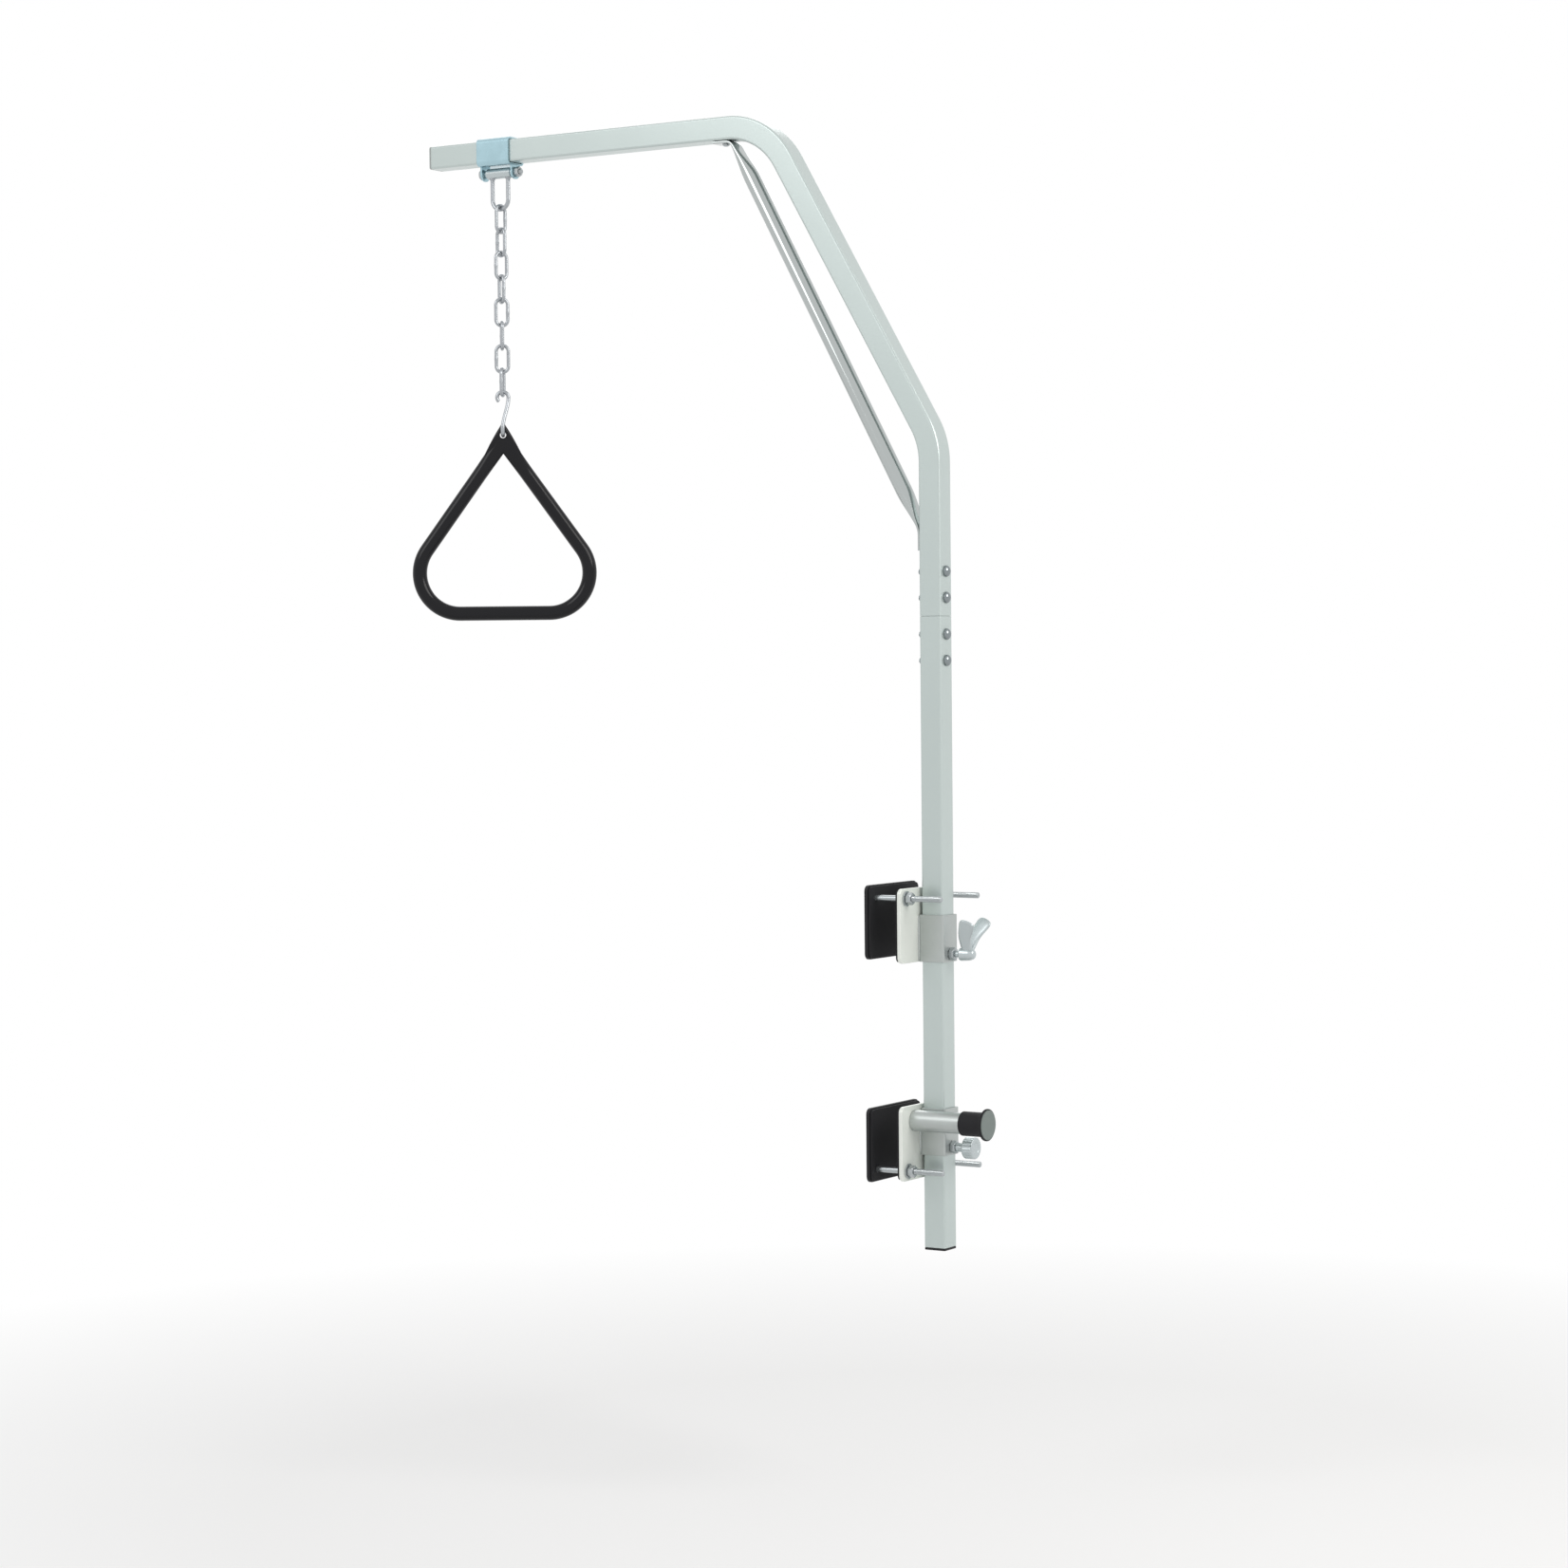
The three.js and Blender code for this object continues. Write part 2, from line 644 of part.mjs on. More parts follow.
// One bracket, drawn with its centre at the group's origin. Way up is +1 where the clamp bolts
// lie near the top edge, and -1 where they lie near the bottom edge. The back plate and its pad
// are shifted that way, so their holes lie further from the edge.
function makeBracket(name, group, wayUp, sleeveDrop) {
  const boltZ = wayUp * (plateHeight / 2 - clampBoltEdge);
  const outline = boxOutline(plateWidth, plateHeight, plateCornerRadius);
  const padOutline = boxOutline(
    plateWidth - 2 * padInset, plateHeight - 2 * padInset, plateCornerRadius - padInset);
  const holeRadius = clampBoltDiameter / 2 + boltClearance;
  const sheet = (edge, thickness, x, shift) => {
    const holes = [-1, 1].map((side) => (
      shifted(circleOutline(holeRadius, roundSides), side * clampBoltOffset, boltZ - shift)));
    return facingX(slab(edge, thickness, holes), x).translate(0, 0, shift);
  };
  const frontX = padThickness + seatGap;
  const frontPad = sheet(padOutline, padThickness, 0, 0);
  piece(`${name}_front_pad`, frontPad, 'blackRubber', group);
  const frontPlate = sheet(outline, plateThickness, frontX, 0);
  piece(`${name}_front_plate`, frontPlate, 'brightZinc', group);
  const backPadX = -panelThickness - padThickness;
  const backPlateX = backPadX - seatGap - plateThickness;
  const backShift = wayUp * backPlateShift;
  const backPad = sheet(padOutline, padThickness, backPadX, backShift);
  piece(`${name}_back_pad`, backPad, 'blackRubber', group);
  const backPlate = sheet(outline, plateThickness, backPlateX, backShift);
  piece(`${name}_back_plate`, backPlate, 'blackSteel', group);

  for (const [side, label] of [[-1, 'near'], [1, 'far']]) {
    const place = (geometry) => geometry.translate(0, side * clampBoltOffset, boltZ);
    const headX = backPlateX - seatGap;
    const shank = clampBoltDiameter / 2;
    const head = clampHeadDiameter / 2;
    const bolt = turnedX([
      [headX - clampHeadHeight, 0],
      ...domed(headX, -clampHeadHeight, head, clampHeadShares).reverse(),
      [headX, head], [headX, shank],
      [headX + clampBoltLength, shank], [headX + clampBoltLength, 0],
    ]);
    piece(`${name}_clamp_bolt_${label}`, place(bolt), 'brightZinc', group);
    const bore = circleOutline(shank + seatGap, roundSides);
    const washerX = plateOuterX + seatGap;
    const washer = slab(circleOutline(washerDiameter / 2, roundSides), washerThickness, [bore]);
    piece(`${name}_washer_${label}`, place(facingX(washer, washerX)), 'brightZinc', group);
    const nutX = washerX + washerThickness + seatGap;
    const nut = slab(hexOutline(clampNutAcrossFlats), clampNutHeight, [bore]);
    piece(`${name}_clamp_nut_${label}`, place(facingX(nut, nutX)), 'brightZinc', group);
  }

  const sleeveBottom = wayUp > 0
    ? -plateHeight / 2
    : plateHeight / 2 - sleeveDrop - sleeveHeight;
  const screwZ = sleeveBottom + sleeveScrewHeight;
  const screwHole = lockScrewDiameter + 2 * boltClearance;
  const sleeveOutline = boxOutline(sleeveSize, sleeveSize, tubeCornerRadius + sleeveClearance);
  const sleeveBoreOutline = boxOutline(sleeveBore, sleeveBore, tubeCornerRadius);
  const sleeve = slab(sleeveOutline, sleeveHeight, [sleeveBoreOutline]);
  const hole = barX(screwHole, 0, sleeveSize).translate(0, 0, sleeveScrewHeight);
  const placedSleeve = cut(sleeve, hole).translate(mastX, 0, sleeveBottom);
  piece(`${name}_sleeve`, placedSleeve, 'brightZinc', group);
  const nutOutline = hexOutline(weldNutAcrossFlats);
  const nutBore = circleOutline(screwHole / 2, roundSides);
  const weldNut = slab(nutOutline, weldNutHeight, [nutBore]);
  const weldNutX = mastX + sleeveSize / 2 + seatGap;
  const placedNut = facingX(weldNut, weldNutX).translate(0, 0, screwZ);
  piece(`${name}_weld_nut`, placedNut, 'brightZinc', group);
  return { screwZ, sleeveBottom };
}

// Where a lock screw starts against the mast and where its head starts, from the mast's axis
const screwStart = tubeHalf + seatGap;
const screwHeadStart = sleeveSize / 2 + 2 * seatGap + weldNutHeight;

// A thumb screw with two long ears that spread upwards in a V and flare outwards
function wingScrewGeometry() {
  const hubStart = screwHeadStart + wingStandOff;
  const end = hubStart + wingHubLength;
  const hub = wingHubDiameter / 2;
  const shank = lockScrewDiameter / 2;
  const body = turnedX([
    [screwStart, 0], [screwStart, shank], [hubStart, shank], [hubStart, hub],
    ...domed(hubStart, wingHubLength, hub, wingHubShares), [end, 0],
  ]);
  const ears = [-1, 1].map((side) => {
    const corner = wingEarCornerShare * wingEarWidth;
    const outline = boxOutline(wingEarWidth, wingEarLength, corner).map(({ x, y }) => {
      const rise = y / wingEarLength + 1 / 2;
      const share = wingEarNeckShare + (1 - wingEarNeckShare) * rise;
      return new THREE.Vector2(share * x, y);
    });
    const ear = facingY(slab(outline, wingEarThickness), wingEarThickness);
    ear.translate(0, 0, wingEarLength / 2);
    ear.rotateY(wingEarFlare);
    ear.rotateX(-side * wingEarSpread);
    return ear.translate(hubStart + wingHubLength / 2, 0, wingEarRootShare * hub);
  });
  return join(body, ...ears);
}

function knobScrewGeometry() {
  const neckEnd = screwHeadStart + knobNeckLength;
  const end = neckEnd + knobLength;
  const knob = knobDiameter / 2;
  const edge = knobEdgeShare * knobLength;
  return turnedX([
    [screwStart, 0], [screwStart, lockScrewDiameter / 2], [screwHeadStart, lockScrewDiameter / 2],
    [screwHeadStart, knobNeckDiameter / 2], [neckEnd, knobNeckDiameter / 2],
    [neckEnd, knob - edge], [neckEnd + edge, knob], [end - edge, knob], [end, knob - edge],
    [end, 0],
  ]);
}

function makeUpperBracket() {
  const group = groupAt(trapeze, 0, 0, 0);
  const { screwZ } = makeBracket('upper', group, 1, 0);
  const screw = wingScrewGeometry().translate(mastX, 0, screwZ);
  piece('upper_wing_screw', screw, 'brightZinc', group);
}

function makeLowerBracket() {
  const group = groupAt(trapeze, 0, 0, lowerBracketHeight - upperBracketHeight);
  const { screwZ } = makeBracket('lower', group, -1, lowerSleeveDrop);
  const screw = knobScrewGeometry().translate(mastX, 0, screwZ);
  piece('lower_knob_screw', screw, 'brightZinc', group);
  makeBumper(group);
}

// A round tube in the corner of plate and sleeve, with a flared tip whose pale pad meets the wall
function makeBumper(group) {
  const radius = bumperTubeDiameter / 2;
  const y = -sleeveSize / 2 - seatGap - radius;
  const z = plateHeight / 2 - bumperDrop;
  const tubeX = plateOuterX + seatGap;
  const endX = mastX + bumperReach - bumperPadProud;
  const tubeLength = endX - bumperTipFace - seatGap - tubeX;
  const bore = circleOutline(radius - bumperTubeWall, roundSides);
  const tube = slab(circleOutline(radius, roundSides), tubeLength, [bore]);
  piece('bumper_tube', facingX(tube, tubeX).translate(0, y, z), 'brightZinc', group);
  const tip = bumperTipDiameter / 2;
  const socket = radius + seatGap;
  const mouthX = endX - bumperTipLength;
  const neck = bumperTipNeck / 2;
  const flareX = endX - bumperTipFlare;
  const flare = [0, 1, 2, 3, 4].map((step) => {
    const turn = step * Math.PI / 8;
    const along = (bumperTipFlare - bumperTipRim) * Math.sin(turn);
    return [flareX + along, neck + (tip - neck) * (1 - Math.cos(turn))];
  });
  const pad = bumperPadDiameter / 2;
  const padX = endX + bumperPadProud - bumperPadThickness;
  const cap = turnedX([
    [mouthX, socket], [mouthX, neck], ...flare, [endX, tip],
    [endX, pad + seatGap], [padX - seatGap, pad + seatGap],
    [padX - seatGap, 0], [endX - bumperTipFace, 0], [endX - bumperTipFace, socket],
    [mouthX, socket],
  ]);
  piece('bumper_tip', cap.translate(0, y, z), 'blackRubber', group);
  const disc = barX(bumperPadDiameter, padX, padX + bumperPadThickness);
  piece('bumper_pad', disc.translate(0, y, z), 'greyRubber', group);
}

// Carrier, hanger, chain and handle

// The carrier group has its origin on the arm's centre line
const carrier = groupAt(mast, -carrierReach, 0, armHeight);
const pinZ = -tubeHalf - carrierPinDrop;
const lugInnerX = collarLength / 2 - lugThickness;

function makeCarrier() {
  const inner = tubeSize + 2 * collarClearance;
  const outer = inner + 2 * collarWall;
  const outline = boxOutline(outer, outer, tubeCornerRadius + collarClearance + collarWall);
  const passage = boxOutline(inner, inner, tubeCornerRadius + collarClearance);
  const collar = facingX(slab(outline, collarLength, [passage]), -collarLength / 2);
  const lugTop = -inner / 2 - collarWall / 2;
  const lugShape = new THREE.Shape();
  lugShape.moveTo(-lugWidth / 2, lugTop);
  lugShape.lineTo(-lugWidth / 2, pinZ);
  lugShape.absarc(0, pinZ, lugWidth / 2, Math.PI, 2 * Math.PI, false);
  lugShape.lineTo(lugWidth / 2, lugTop);
  const lugAt = (x) => {
    const lug = new THREE.ExtrudeGeometry(
      lugShape, { depth: lugThickness, bevelEnabled: false, curveSegments: roundSides / 2 });
    return facingX(lug, x);
  };
  const holeDiameter = carrierPinDiameter + 2 * boltClearance;
  const hole = barX(holeDiameter, -collarLength, collarLength).translate(0, 0, pinZ);
  const geometry = cut(join(collar, lugAt(-collarLength / 2), lugAt(lugInnerX)), hole);
  piece('carrier_collar', geometry, 'blueZinc', carrier);

  const seat = collarLength / 2 + seatGap;
  const shankEnd = seat + carrierNutHeight + carrierThreadProud;
  const shank = barX(carrierPinDiameter, -seat - carrierHeadHeight / 2, shankEnd);
  const headOutline = hexOutline(carrierHeadAcrossFlats);
  const head = facingX(slab(headOutline, carrierHeadHeight), -seat - carrierHeadHeight);
  piece('carrier_bolt', join(shank, head).translate(0, 0, pinZ), 'brightZinc', carrier);
  const bore = circleOutline(carrierPinDiameter / 2 + seatGap, roundSides);
  const nut = slab(hexOutline(carrierHeadAcrossFlats), carrierNutHeight, [bore]);
  piece('carrier_nut', facingX(nut, seat).translate(0, 0, pinZ), 'brightZinc', carrier);
}

// The hanger group has its origin on the carrier bolt's axis
const hanger = groupAt(carrier, 0, 0, pinZ);

function makeHanger() {
  const half = lugInnerX - seatGap;
  const bodyHalf = barrelBodyLength / 2;
  const bore = carrierPinDiameter / 2 + seatGap;
  const shoulder = barrelShoulderDiameter / 2;
  const body = barrelDiameter / 2;
  const barrel = turnedX([
    [-half, bore], [-half, shoulder], [-bodyHalf, shoulder], [-bodyHalf, body],
    [bodyHalf, body], [bodyHalf, shoulder], [half, shoulder], [half, bore], [-half, bore],
  ]);
  piece('hanger_barrel', barrel, 'brightZinc', hanger);
  const legTop = -body - seatGap;
  const leg = -loopDrop + loopSpan / 2;
  const places = walk(-loopSpan / 2, legTop, -Math.PI / 2, [
    { ahead: legTop - leg },
    { turn: Math.PI, radius: loopSpan / 2, step: loopStepAngle },
    { ahead: legTop - leg },
  ]);
  const rings = ringsAlong(places, circleOutline(loopWire / 2, wireSides));
  piece('hanger_loop', skin(rings), 'brightZinc', hanger);
}

// One chain link, centred, standing upright in the X-Z plane
function linkGeometry() {
  const radius = (linkWidth - linkWire) / 2;
  const straight = linkLength - linkWire - 2 * radius;
  const places = walk(radius, -straight / 2, Math.PI / 2, [
    { ahead: straight },
    { turn: Math.PI, radius, step: wireStepAngle },
    { ahead: straight },
    { turn: Math.PI, radius, step: wireStepAngle },
  ]);
  places.pop();
  const rings = ringsAlong(places, circleOutline(linkWire / 2, wireSides));
  return skin(rings, null, true);
}

// The first link's top wire rests on the bottom of the hanger's loop
const firstLinkZ = -loopDrop + loopWire / 2 + seatGap + linkWire - linkLength / 2;

function makeChain() {
  for (let i = 1; i <= linkCount; i += 1) {
    const link = piece(`chain_link_${i}`, linkGeometry(), 'brightZinc', hanger);
    link.position.z = firstLinkZ - (i - 1) * linkPitch;
    link.rotation.z = i * (Math.PI / 2 + linkTwist);
  }
}

// The hook and handle hang below the last link, turned about the vertical. The hook's top wire
// lies on the last link's bottom wire.
const lastLinkZ = firstLinkZ - (linkCount - 1) * linkPitch;
const hookTopZ = lastLinkZ - linkLength / 2 + linkWire + seatGap + hookWire / 2;
const handleHoleTop = handleHoleRise + handleHoleDiameter / 2;
const hookInner = hookLowerRadius - hookWire / 2;
const hookCurveRise = hookLowerRadius - Math.sqrt(hookInner ** 2 - (handleTipThickness / 2) ** 2);
const hookBottomRise = handleHoleTop - 2 * seatGap - hookCurveRise;
const handleApexZ = hookTopZ - hookLength - hookBottomRise;

// An S-hook whose lower loop is turned a quarter turn from its upper one
function hookGeometry() {
  const upperCentre = -hookUpperRadius;
  const lowerCentre = -hookLength + hookLowerRadius;
  const points = [];
  const upperTurn = Math.PI + hookUpperWrap;
  const upperSteps = Math.ceil(upperTurn / wireStepAngle);
  for (let i = 0; i <= upperSteps; i += 1) {
    const angle = upperTurn * (1 - i / upperSteps);
    points.push(new THREE.Vector3(
      hookUpperRadius * Math.cos(angle), 0, upperCentre + hookUpperRadius * Math.sin(angle)));
  }
  const lowerTurn = Math.PI + hookLowerWrap;
  const lowerSteps = Math.ceil(lowerTurn / wireStepAngle);
  for (let i = 0; i <= lowerSteps; i += 1) {
    const angle = Math.PI + lowerTurn * i / lowerSteps;
    points.push(new THREE.Vector3(
      0, hookLowerRadius * Math.cos(angle), lowerCentre + hookLowerRadius * Math.sin(angle)));
  }
  const path = new THREE.CatmullRomCurve3(points, false, 'centripetal');
  const shape = new THREE.Shape(circleOutline(hookWire / 2, wireSides));
  return new THREE.ExtrudeGeometry(
    shape, { steps: 2 * points.length, bevelEnabled: false, extrudePath: path });
}

// The handle's loop of rod, its flattened tip and the hole in it, with the centre lines of its
// two sides meeting at the origin
function handleGeometry() {
  const down = Math.PI / 2 - handleHalfAngle;
  const cornerTurn = Math.PI - down;
  const tangent = handleCornerRadius * Math.tan(cornerTurn / 2);
  const side = handleHeight / Math.cos(handleHalfAngle) - tangent;
  const base = 2 * (handleHeight * Math.tan(handleHalfAngle) - tangent);
  const turn = { turn: -cornerTurn, radius: handleCornerRadius, step: handleStepAngle };
  const places = walk(0, 0, 0, [
    { face: -down }, { ahead: side }, turn, { ahead: base }, turn, { ahead: side },
  ]);
  places.pop();
  places[0].stretch = 1 / Math.sin(handleHalfAngle);
  const rod = skin(ringsAlong(places, circleOutline(handleRod / 2, rodSides)), null, true);

  const apexRise = handleRod / 2 / Math.sin(handleHalfAngle);
  const shoulder = (apexRise + handleTipShoulder) * Math.tan(handleHalfAngle);
  const shape = new THREE.Shape();
  shape.moveTo(-shoulder, -handleTipShoulder);
  shape.lineTo(0, -apexRise);
  shape.lineTo(shoulder, -handleTipShoulder);
  shape.quadraticCurveTo(
    handleTipBelly, handleTipBellyRise, handleTipBluntness, handleTipRise);
  shape.lineTo(-handleTipBluntness, handleTipRise);
  shape.quadraticCurveTo(
    -handleTipBelly, handleTipBellyRise, -shoulder, -handleTipShoulder);
  const tip = new THREE.ExtrudeGeometry(
    shape, { depth: handleTipThickness, bevelEnabled: false, curveSegments: tipSegments });
  const flats = [-1, 1].map((way) => {
    const block = new THREE.BoxGeometry(4 * handleRod, handleRod, 2 * handleRod);
    const y = way * (handleTipThickness + handleRod) / 2;
    return block.translate(0, y, handleFlatStart + handleRod);
  });
  const bore = slab(circleOutline(handleHoleDiameter / 2, roundSides), 2 * handleRod);
  const hole = facingY(bore, 2 * handleRod).translate(0, 0, handleHoleRise);
  return cut(join(rod, facingY(tip, handleTipThickness)), ...flats, hole);
}

function makeHandle() {
  const hook = piece('handle_hook', hookGeometry(), 'brightZinc', hanger);
  hook.position.z = hookTopZ;
  hook.rotation.z = handleTurn;
  const handle = piece('handle', handleGeometry(), 'blackVinyl', hanger);
  handle.position.z = handleApexZ;
  handle.rotation.z = handleTurn;
}

makeUpperBar();
makeLowerBar();
makeSplice();
makePlugs();
makeBrace();
makeUpperBracket();
makeLowerBracket();
makeCarrier();
makeHanger();
makeChain();
makeHandle();

export default trapeze;
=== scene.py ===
"""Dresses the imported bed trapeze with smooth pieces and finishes, and sets a pale studio round it.

Everything is in metres in the frame's own axes: Z runs up the mast, the arm reaches along -X,
and the origin is the centre of the upper bracket's gripping face.
"""
import math

import bmesh
import bpy
import numpy as np
from bpy.props import FloatProperty, FloatVectorProperty, IntProperty, PointerProperty
from mathutils import Matrix, Vector
from mathutils.geometry import tessellate_polygon


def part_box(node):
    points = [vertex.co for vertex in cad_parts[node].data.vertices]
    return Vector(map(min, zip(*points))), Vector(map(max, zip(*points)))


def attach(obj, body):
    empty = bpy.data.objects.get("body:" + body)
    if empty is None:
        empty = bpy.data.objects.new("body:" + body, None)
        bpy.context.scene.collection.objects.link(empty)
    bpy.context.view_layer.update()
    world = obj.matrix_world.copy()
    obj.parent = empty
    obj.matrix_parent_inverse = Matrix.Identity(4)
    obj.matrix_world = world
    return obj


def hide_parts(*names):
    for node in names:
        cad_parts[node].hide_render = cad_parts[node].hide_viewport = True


bl_info = {
    "name": "Bed Trapeze",
    "version": (1, 0, 0),
    "blender": (4, 5, 0),
    "location": "View3D > Sidebar > Trapeze",
    "description": "Builds the visible pieces of a clamp-on bed trapeze round its frame",
    "category": "Object",
}

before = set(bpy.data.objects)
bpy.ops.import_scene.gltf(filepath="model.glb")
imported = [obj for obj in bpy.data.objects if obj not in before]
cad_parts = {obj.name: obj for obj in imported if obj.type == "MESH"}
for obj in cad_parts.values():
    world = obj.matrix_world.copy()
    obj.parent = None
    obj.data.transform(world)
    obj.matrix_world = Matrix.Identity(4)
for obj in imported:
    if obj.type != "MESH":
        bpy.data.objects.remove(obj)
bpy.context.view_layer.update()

X_AXIS, Y_AXIS, Z_AXIS = np.eye(3)

# Points round each kind of ring, and steps along arcs, rims, cones, domes and threads
ROUND_SIDES = 48
WIRE_SIDES = 20
ROD_SIDES = 40
EAR_SIDES = 32
BEAD_SIDES = 28
HOLE_SIDES = 28
THREAD_SIDES = 24
HEXAGON_SIDES = 72
ARC_STEPS = 6
RIM_STEPS = 3
CONE_STEPS = 4
DOME_STEPS = 10
RINGS_PER_PITCH = 6
BEND_STEP = math.radians(4)

# Shares: depth of a thread in its pitch, round land of a nut in its flats, and the most that an
# eased corner takes of a side
THREAD_DEPTH = 0.55
LAND_SHARE = 0.96
EASED_SHARE = 0.45

# Angle past which an edge is sharp, lengths in metres, and the camera sensor's width in
# millimetres
SMOOTH_ANGLE = math.radians(38)
WELD_DISTANCE = 1e-7
LEAST_CORNER = 0.0001
SEAT_GAP = 0.0003
OVERLAP = 0.001
BUMP_HEIGHT = 0.0002
SENSOR_WIDTH = 36.0
WHITE = (1.0, 1.0, 1.0, 1.0)

# Material name, slot, spread of the colour, roughness and its spread, metallic, broad and fine
# scale of the unevenness, bump, and specular level of each kind of finish
FINISHES = {
    "satin_zinc": ("Satin zinc tube", "satin_zinc", 0.03, 0.30, 0.05, 0.6, 6, 900, 0.04, 0.5),
    "bright_zinc": ("Bright zinc plate", "bright_zinc", 0.04, 0.34, 0.05, 0.2, 30, 900, 0.02,
                    0.5),
    "grey_zinc": ("Grey zinc of sleeves", "bright_zinc", 0.06, 0.36, 0.05, 0.75, 60, 900, 0.05,
                  0.5),
    "lock_zinc": ("Zinc of lock screws", "bright_zinc", 0.06, 0.26, 0.05, 0.8, 80, 900, 0.05, 0.5),
    "screw_zinc": ("Zinc of screws", "bright_zinc", 0.10, 0.24, 0.06, 0.85, 120, 900, 0.04, 0.5),
    "chain_zinc": ("Zinc of the chain", "bright_zinc", 0.12, 0.22, 0.06, 0.8, 120, 900, 0.05, 0.5),
    "blue_zinc": ("Blue passivated zinc", "blue_zinc", 0.08, 0.22, 0.05, 0.85, 50, 900, 0.05, 0.5),
    "chrome": ("Polished chrome", "chrome", 0.02, 0.09, 0.02, 1.0, 20, 900, 0.0, 0.5),
    # Seam bolt chrome: its base colour is set darker than real chrome to paint in the dark
    # reflections that the domed heads show. The darkness is painted reflection, not the metal's own
    # colour.
    "painted_reflection_chrome": ("Seam bolt chrome with painted dark reflection", "chrome", 0.04, 0.12, 0.02, 1.0, 60, 900,
                    0.0, 0.5),
    "black_steel": ("Black coated steel", "black_steel", 0.15, 0.45, 0.05, 0.0, 40, 1200, 0.12,
                    0.2),
    "black_rubber": ("Black rubber", "black_rubber", 0.2, 0.65, 0.08, 0.0, 60, 1500, 0.2, 0.2),
    "grey_rubber": ("Grey rubber", "grey_rubber", 0.06, 0.6, 0.05, 0.0, 60, 1500, 0.15, 0.3),
    "grey_plastic": ("Grey plastic", "grey_plastic", 0.04, 0.5, 0.04, 0.0, 40, 1500, 0.1, 0.3),
    "black_plastic": ("Black plastic", "black_plastic", 0.15, 0.45, 0.05, 0.0, 40, 1500, 0.1, 0.2),
    "black_vinyl": ("Black vinyl coat", "black_vinyl", 0.1, 0.16, 0.03, 0.0, 25, 500, 0.03, 0.24),
}

# Name, place, aim, power in watts and colour of each lamp
LAMPS = (
    ("Key lamp", (-1.6, -3.4, 2.6), (-0.3, 0, 0.3), 32, (1.0, 1.0, 1.0)),
    ("Side lamp", (3.2, -0.2, 2.2), (-0.2, 0, 0.3), 62, (1.0, 0.98, 0.95)),
    ("Back lamp", (-2.2, 2.8, 2.2), (-0.3, 0, 0.3), 22, (1.0, 1.0, 1.0)),
)


def length(name, description, default):
    """A size in metres that a user may change."""
    return FloatProperty(
        name=name, description=description, default=default, min=0.0, precision=4, unit="LENGTH")


def angle(name, description, degrees):
    """An angle that a user may change, given here in degrees."""
    return FloatProperty(
        name=name, description=description, default=math.radians(degrees), subtype="ANGLE")


def share(name, description, default):
    """A share of something, from none to all of it."""
    return FloatProperty(
        name=name, description=description, default=default, min=0.0, max=1.0, subtype="FACTOR")


def colour(name, description, *default):
    """A linear colour."""
    return FloatVectorProperty(
        name=name, description=description, default=default, size=3, min=0.0, max=1.0,
        subtype="COLOR")


# Places of the frame's pieces


def low(node):
    """Lowest corner of a node at rest."""
    return np.array(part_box(node)[0])


def high(node):
    """Highest corner of a node at rest."""
    return np.array(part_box(node)[1])


def middle(node):
    """Centre of a node's box at rest."""
    return (low(node) + high(node)) / 2


def extent(node):
    """Size of a node's box along each axis."""
    return high(node) - low(node)


def span(node):
    """Where a node starts and ends along X."""
    return low(node)[0], high(node)[0]


def on_line(node, x=0.0):
    """Point at X on the line along X through a node's centre."""
    return middle(node) * (0, 1, 1) + x * X_AXIS


def level(turn):
    """Level direction that lies a turn about the upright away from X."""
    return np.array([math.cos(turn), math.sin(turn), 0])


# Outlines and profiles, as rows of two numbers


def ring(radius, sides=ROUND_SIDES):
    """Circle: radius times the cosine and sine of evenly spaced angles."""
    turn = np.arange(sides) * 2 * np.pi / sides
    return radius * np.stack([np.cos(turn), np.sin(turn)], -1)


def smooth(s):
    """Smooth step: s is held between 0 and 1, squared, and times three less twice s."""
    s = np.clip(s, 0, 1)
    return s**2 * (3 - 2 * s)


def box_outline(width, height, radius):
    """Rectangle with quarter circles at its corners, counter-clockwise from the right side, as a
    function of how far it is set in."""
    quarter = np.linspace(0, np.pi / 2, ARC_STEPS + 1)
    turn = (quarter + np.arange(4)[:, None] * np.pi / 2).ravel()
    arc = np.stack([np.cos(turn), np.sin(turn)], -1)
    signs = np.array([[1, 1], [-1, 1], [-1, -1], [1, -1]]).repeat(ARC_STEPS + 1, axis=0)
    half = np.array([width, height]) / 2

    def outline(inset):
        corner = max(radius - inset, LEAST_CORNER)
        return signs * (half - inset - corner) + corner * arc
    return outline


def eased(points, reach, steps=4, closed=False):
    """Rounds a polyline's corners: each corner gives way to a parabola that starts and ends at
    the reach before and after it, or just short of the middle of a shorter side."""
    points = np.asarray(points, float)
    start, end = (
        points + side * np.minimum(
            reach / np.linalg.norm(side, axis=1, keepdims=True), EASED_SHARE)
        for side in (np.roll(points, 1, 0) - points, np.roll(points, -1, 0) - points))
    s = np.linspace(0, 1, steps + 1)[None, :, None]
    curve = (1 - s) ** 2 * start[:, None] + 2 * s * (1 - s) * points[:, None] + s**2 * end[:, None]
    if closed:
        return np.concatenate(curve)
    return np.concatenate([points[:1], *curve[1:-1], points[-1:]])


